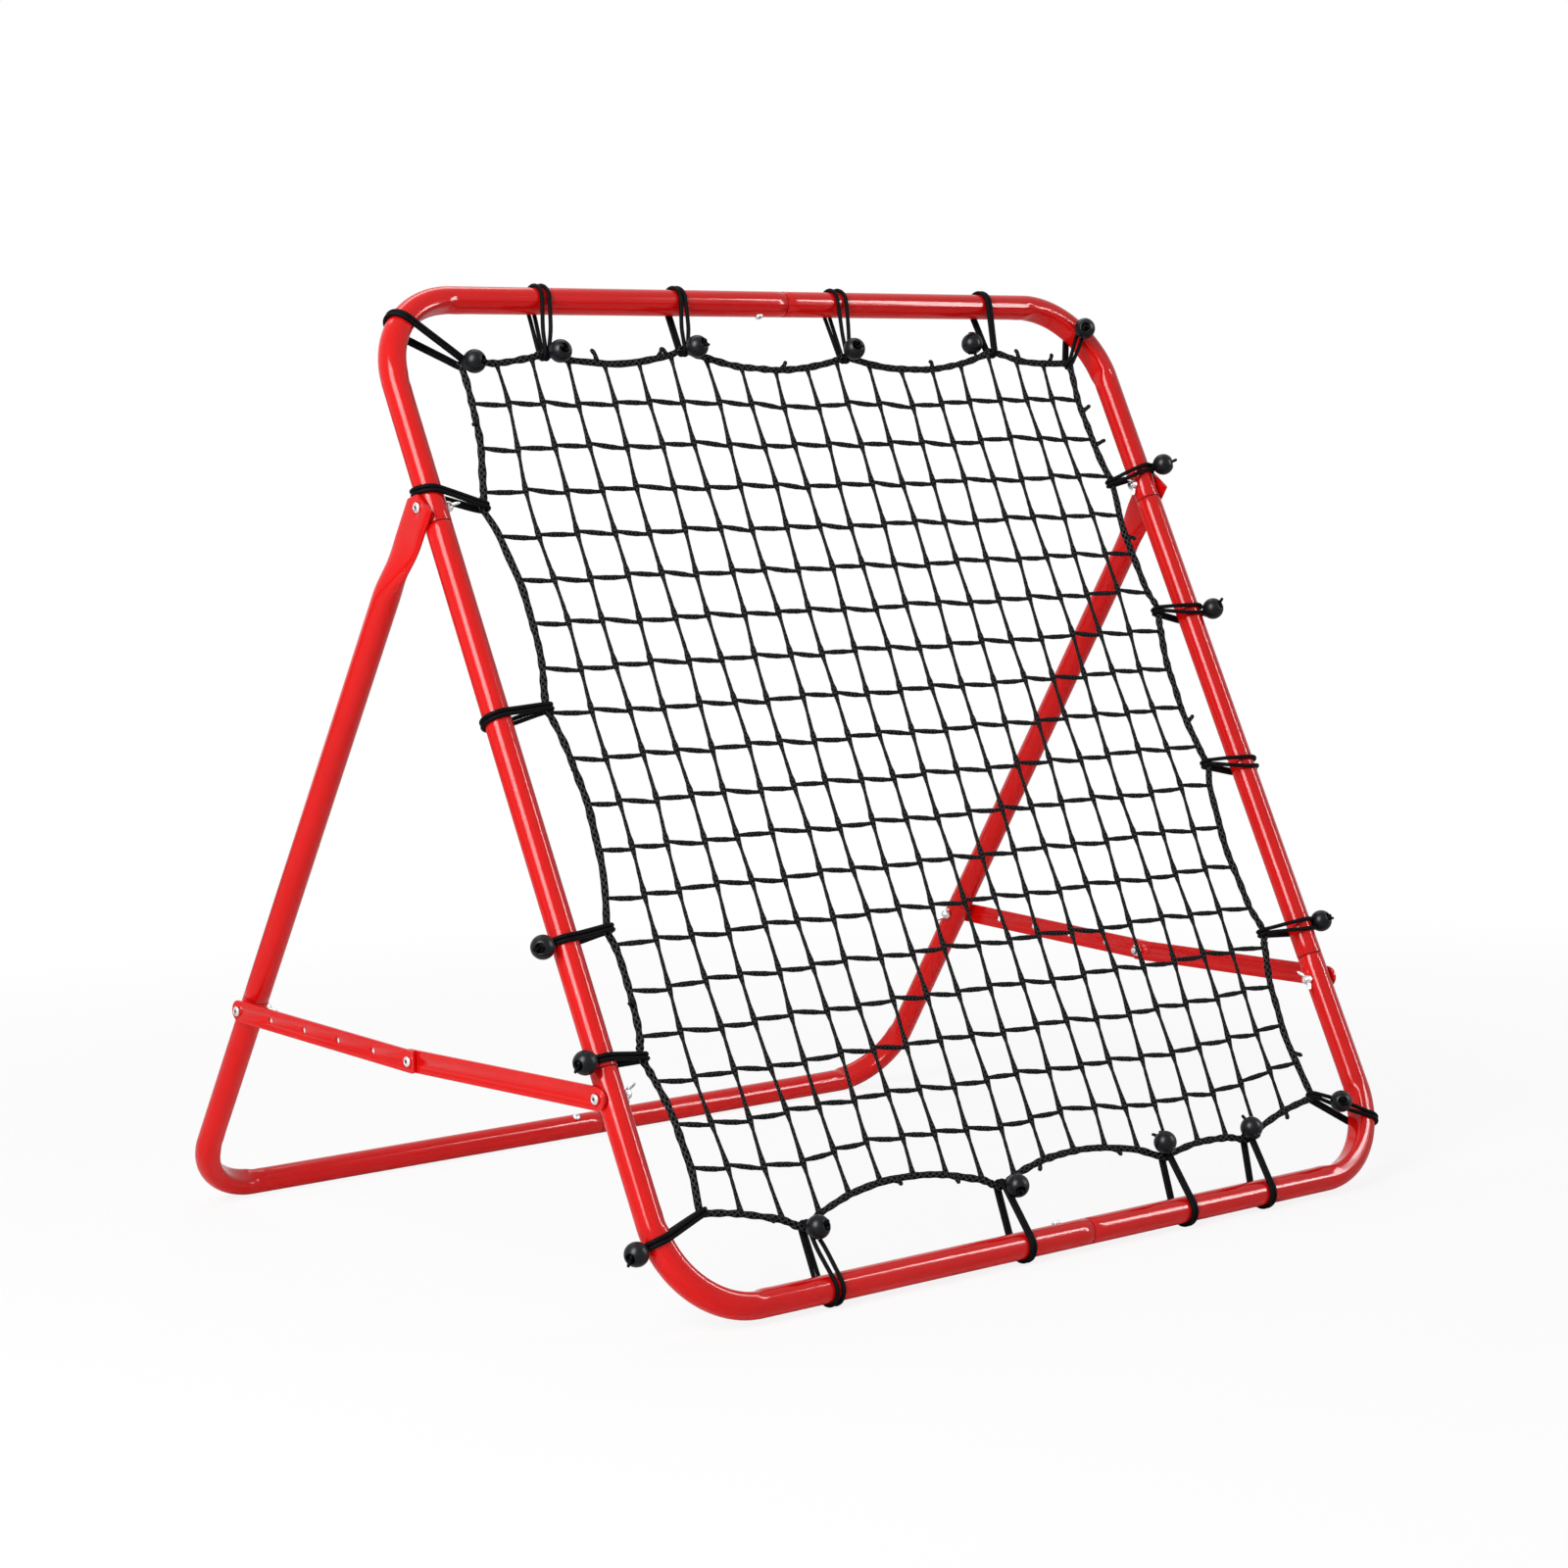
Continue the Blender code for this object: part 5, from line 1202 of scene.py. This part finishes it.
def tie(name, net, tube, out, rest, seed):
    """A doubled elastic cord round the tube and the border, with its ball.

    Each run is a belt in the plane of out and the net's front, shifted along the tube by a skew and by half
    the cords' spacing, which both vary from the net to the tube and from the back to the front.
    """
    front_half, back_half, ball_half, centre, axis = rest
    net = np.array((*net, 0.0))
    along = np.array((out[1], -out[0], 0.0))
    if out[0] * out[1] == 0:
        along = np.array((abs(out[1]), -abs(out[0]), 0.0))
    out = np.array((*out, 0.0))
    normal = np.array((0.0, 0.0, 1.0))
    gap = np.array((*tube, 0.0)) - net
    line, share, ahead = belt(gap @ out)
    patches = ball_patches(np.array(centre), unit(np.array(axis)), seed)
    beside = np.interp(share, (0, 0.1, 0.35, 1), (CORD, CORD, ball_half, front_half))
    behind = np.interp(share, (0, 1), (CORD, back_half))
    half = smooth_loop(behind + (beside - behind) * ahead, 3)
    skew = smooth_loop(share, 3) * (gap @ along) - smooth_loop(share * (1 - ahead), 3) * BEHIND.get(name, 0)
    for sign in (-1, 1):
        path = net + line[:, :1] * out + line[:, 1:] * normal + (skew + sign * half)[:, None] * along
        path = smooth_loop(path, 1)
        patches.append(Patch(carried(path, CORD, CORD_SIDES, along, loop=True), along=True))
    for patch in patches:
        patch.points = in_frame(patch.points)
    return piece(name + "_elastic", patches, [ELASTIC, BALL_LOOK], "front_frame", [name], sharp=60)


for number, row in enumerate(tie_rows()):
    tie(row.name, row.net, row.tube, row.out, row.rest, number * 1.3)
for number, (name, (inset, drop, turn, *rest)) in enumerate(CORNERS.items()):
    out = np.array((cos(radians(turn)), sin(radians(turn))))
    tube = from_corner(name, FRAME_BEND, FRAME_BEND) + out * FRAME_BEND
    tie("tie_" + name, from_corner(name, inset, drop), tube, out, rest, number * 0.9)

# Camera and light


def add_at(name, data, place, ways):
    """Adds a camera or light at a place, with its own x, y and z along three directions."""
    matrix = np.eye(4)
    matrix[:3, :3] = np.array(ways).T
    matrix[:3, 3] = place
    made = bpy.data.objects.new(name, data)
    made.matrix_world = Matrix(matrix.tolist())
    bpy.context.scene.collection.objects.link(made)
    return made


def add_camera(place, yaw, pitch, roll):
    """A camera that looks forwards from yaw to the right of +Y and pitch up, turned by roll."""
    forwards = np.array((sin(yaw) * cos(pitch), cos(yaw) * cos(pitch), sin(pitch)))
    right = np.array((cos(yaw), -sin(yaw), 0.0))
    up = np.cross(right, forwards)
    lens = bpy.data.cameras.new("camera")
    lens.lens = 76.97
    lens.sensor_width = 36.0
    lens.shift_y = 0.0876
    lens.clip_end = 50.0
    ways = (cos(roll) * right + sin(roll) * up, -sin(roll) * right + cos(roll) * up, -forwards)
    return add_at("camera", lens, place, ways)


bpy.context.scene.camera = add_camera(
    (-2.0630, -2.5765, 0.7043), yaw=radians(38.674), pitch=radians(-7.444), roll=radians(-1.666)
)

LIT_POINT = np.array((0, 0, 0.4))
KEY_PLACE = (-2.85, -1.2, 2.3)
FILL_PLACE = (2.6, -2.4, 1.8)


def softbox(name, place, size, power):
    """A rectangular lamp that faces the object's middle, with its first edge level."""
    light = bpy.data.lights.new(name, "AREA")
    light.shape = "RECTANGLE"
    light.size, light.size_y = size
    light.energy = power
    way = unit(np.array(place) - LIT_POINT)
    side = unit(np.cross((0.0, 0.0, 1.0), way))
    return add_at(name, light, place, (side, np.cross(way, side), way))


softbox("key", KEY_PLACE, (1.7, 2.4), 108)
softbox("fill", FILL_PLACE, (0.14, 2.0), 13)
softbox("top", (0.2, 1.3, 3.0), (2.4, 0.8), 24)
# Panels that show only as gloss on the coat and the metal, and give the tubes their bright streaks
softbox("key_gloss", KEY_PLACE, (1.1, 2.4), 320).visible_diffuse = False
softbox("side_gloss", FILL_PLACE, (0.4, 2.0), 90).visible_diffuse = False


def studio_world():
    """Grey light on the object, and a white background for the camera, gloss and clear surfaces."""
    world = bpy.data.worlds.new("studio")
    n = Nodes(world)
    grey = n.tree.nodes["Background"]
    n.feed(grey.inputs["Color"], (0.21, 0.21, 0.21, 1))
    white = n.add("ShaderNodeBackground", {"Color": (1, 1, 1, 1)})
    ray = n.add("ShaderNodeLightPath").outputs
    seen = n.math("MAXIMUM", ray["Is Camera Ray"], ray["Is Glossy Ray"])
    seen = n.math("MAXIMUM", seen, ray["Is Transmission Ray"])
    both = n.add("ShaderNodeMixShader", {0: seen, 1: grey.outputs[0], 2: white.outputs[0]})
    n.feed(n.tree.nodes["World Output"].inputs["Surface"], both.outputs[0])
    return world


def pale_floor_look():
    """Pale matt floor with a soft shadow, which turns white for the camera from 0.9 to 2.2 m away."""
    n = material_nodes("pale_floor")
    place = n.add("ShaderNodeTexCoord").outputs["Object"]
    distance = n.add("ShaderNodeVectorMath", {0: place}, operation="LENGTH").outputs["Value"]
    look = n.finish(Base_Color=(0.9, 0.9, 0.9, 1), Roughness=0.9)
    glow = n.add("ShaderNodeEmission", {"Color": (1, 1, 1, 1)})
    seen = n.add("ShaderNodeLightPath").outputs["Is Camera Ray"]
    share = n.math("MULTIPLY", seen, n.span(distance, 0.9, 2.2, 0.86, 1.0))
    matt = n.tree.nodes["Principled BSDF"]
    both = n.add("ShaderNodeMixShader", {0: share, 1: matt.outputs[0], 2: glow.outputs[0]})
    n.feed(n.tree.nodes["Material Output"].inputs["Surface"], both.outputs[0])
    return look


FLOOR_REACH = 30.0
# The floor lies just under the lowest cord, so that the two don't flicker through each other
FLOOR_LEVEL = -0.00045


def add_floor():
    """A wide flat square under the object."""
    corners = [(x * FLOOR_REACH, y * FLOOR_REACH, 0) for x, y in ((-1, -1), (1, -1), (1, 1), (-1, 1))]
    mesh = bpy.data.meshes.new("floor")
    mesh.from_pydata(corners, [], [(0, 1, 2, 3)])
    mesh.materials.append(pale_floor_look())
    floor = bpy.data.objects.new("floor", mesh)
    floor.location.z = FLOOR_LEVEL
    bpy.context.scene.collection.objects.link(floor)
    return floor


bpy.context.scene.world = studio_world()
floor = add_floor()

bpy.context.scene.view_settings.view_transform = "Standard"

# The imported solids, which the pieces above stand for, have the same finishes
for name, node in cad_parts.items():
    look = ZINC
    if name.startswith(("frame_", "upright", "stand", "strip")):
        look = RED
    if name.startswith("tie"):
        look = ELASTIC
    if name == "net":
        look = TWINE
    node.data.materials.clear()
    node.data.materials.append(look)
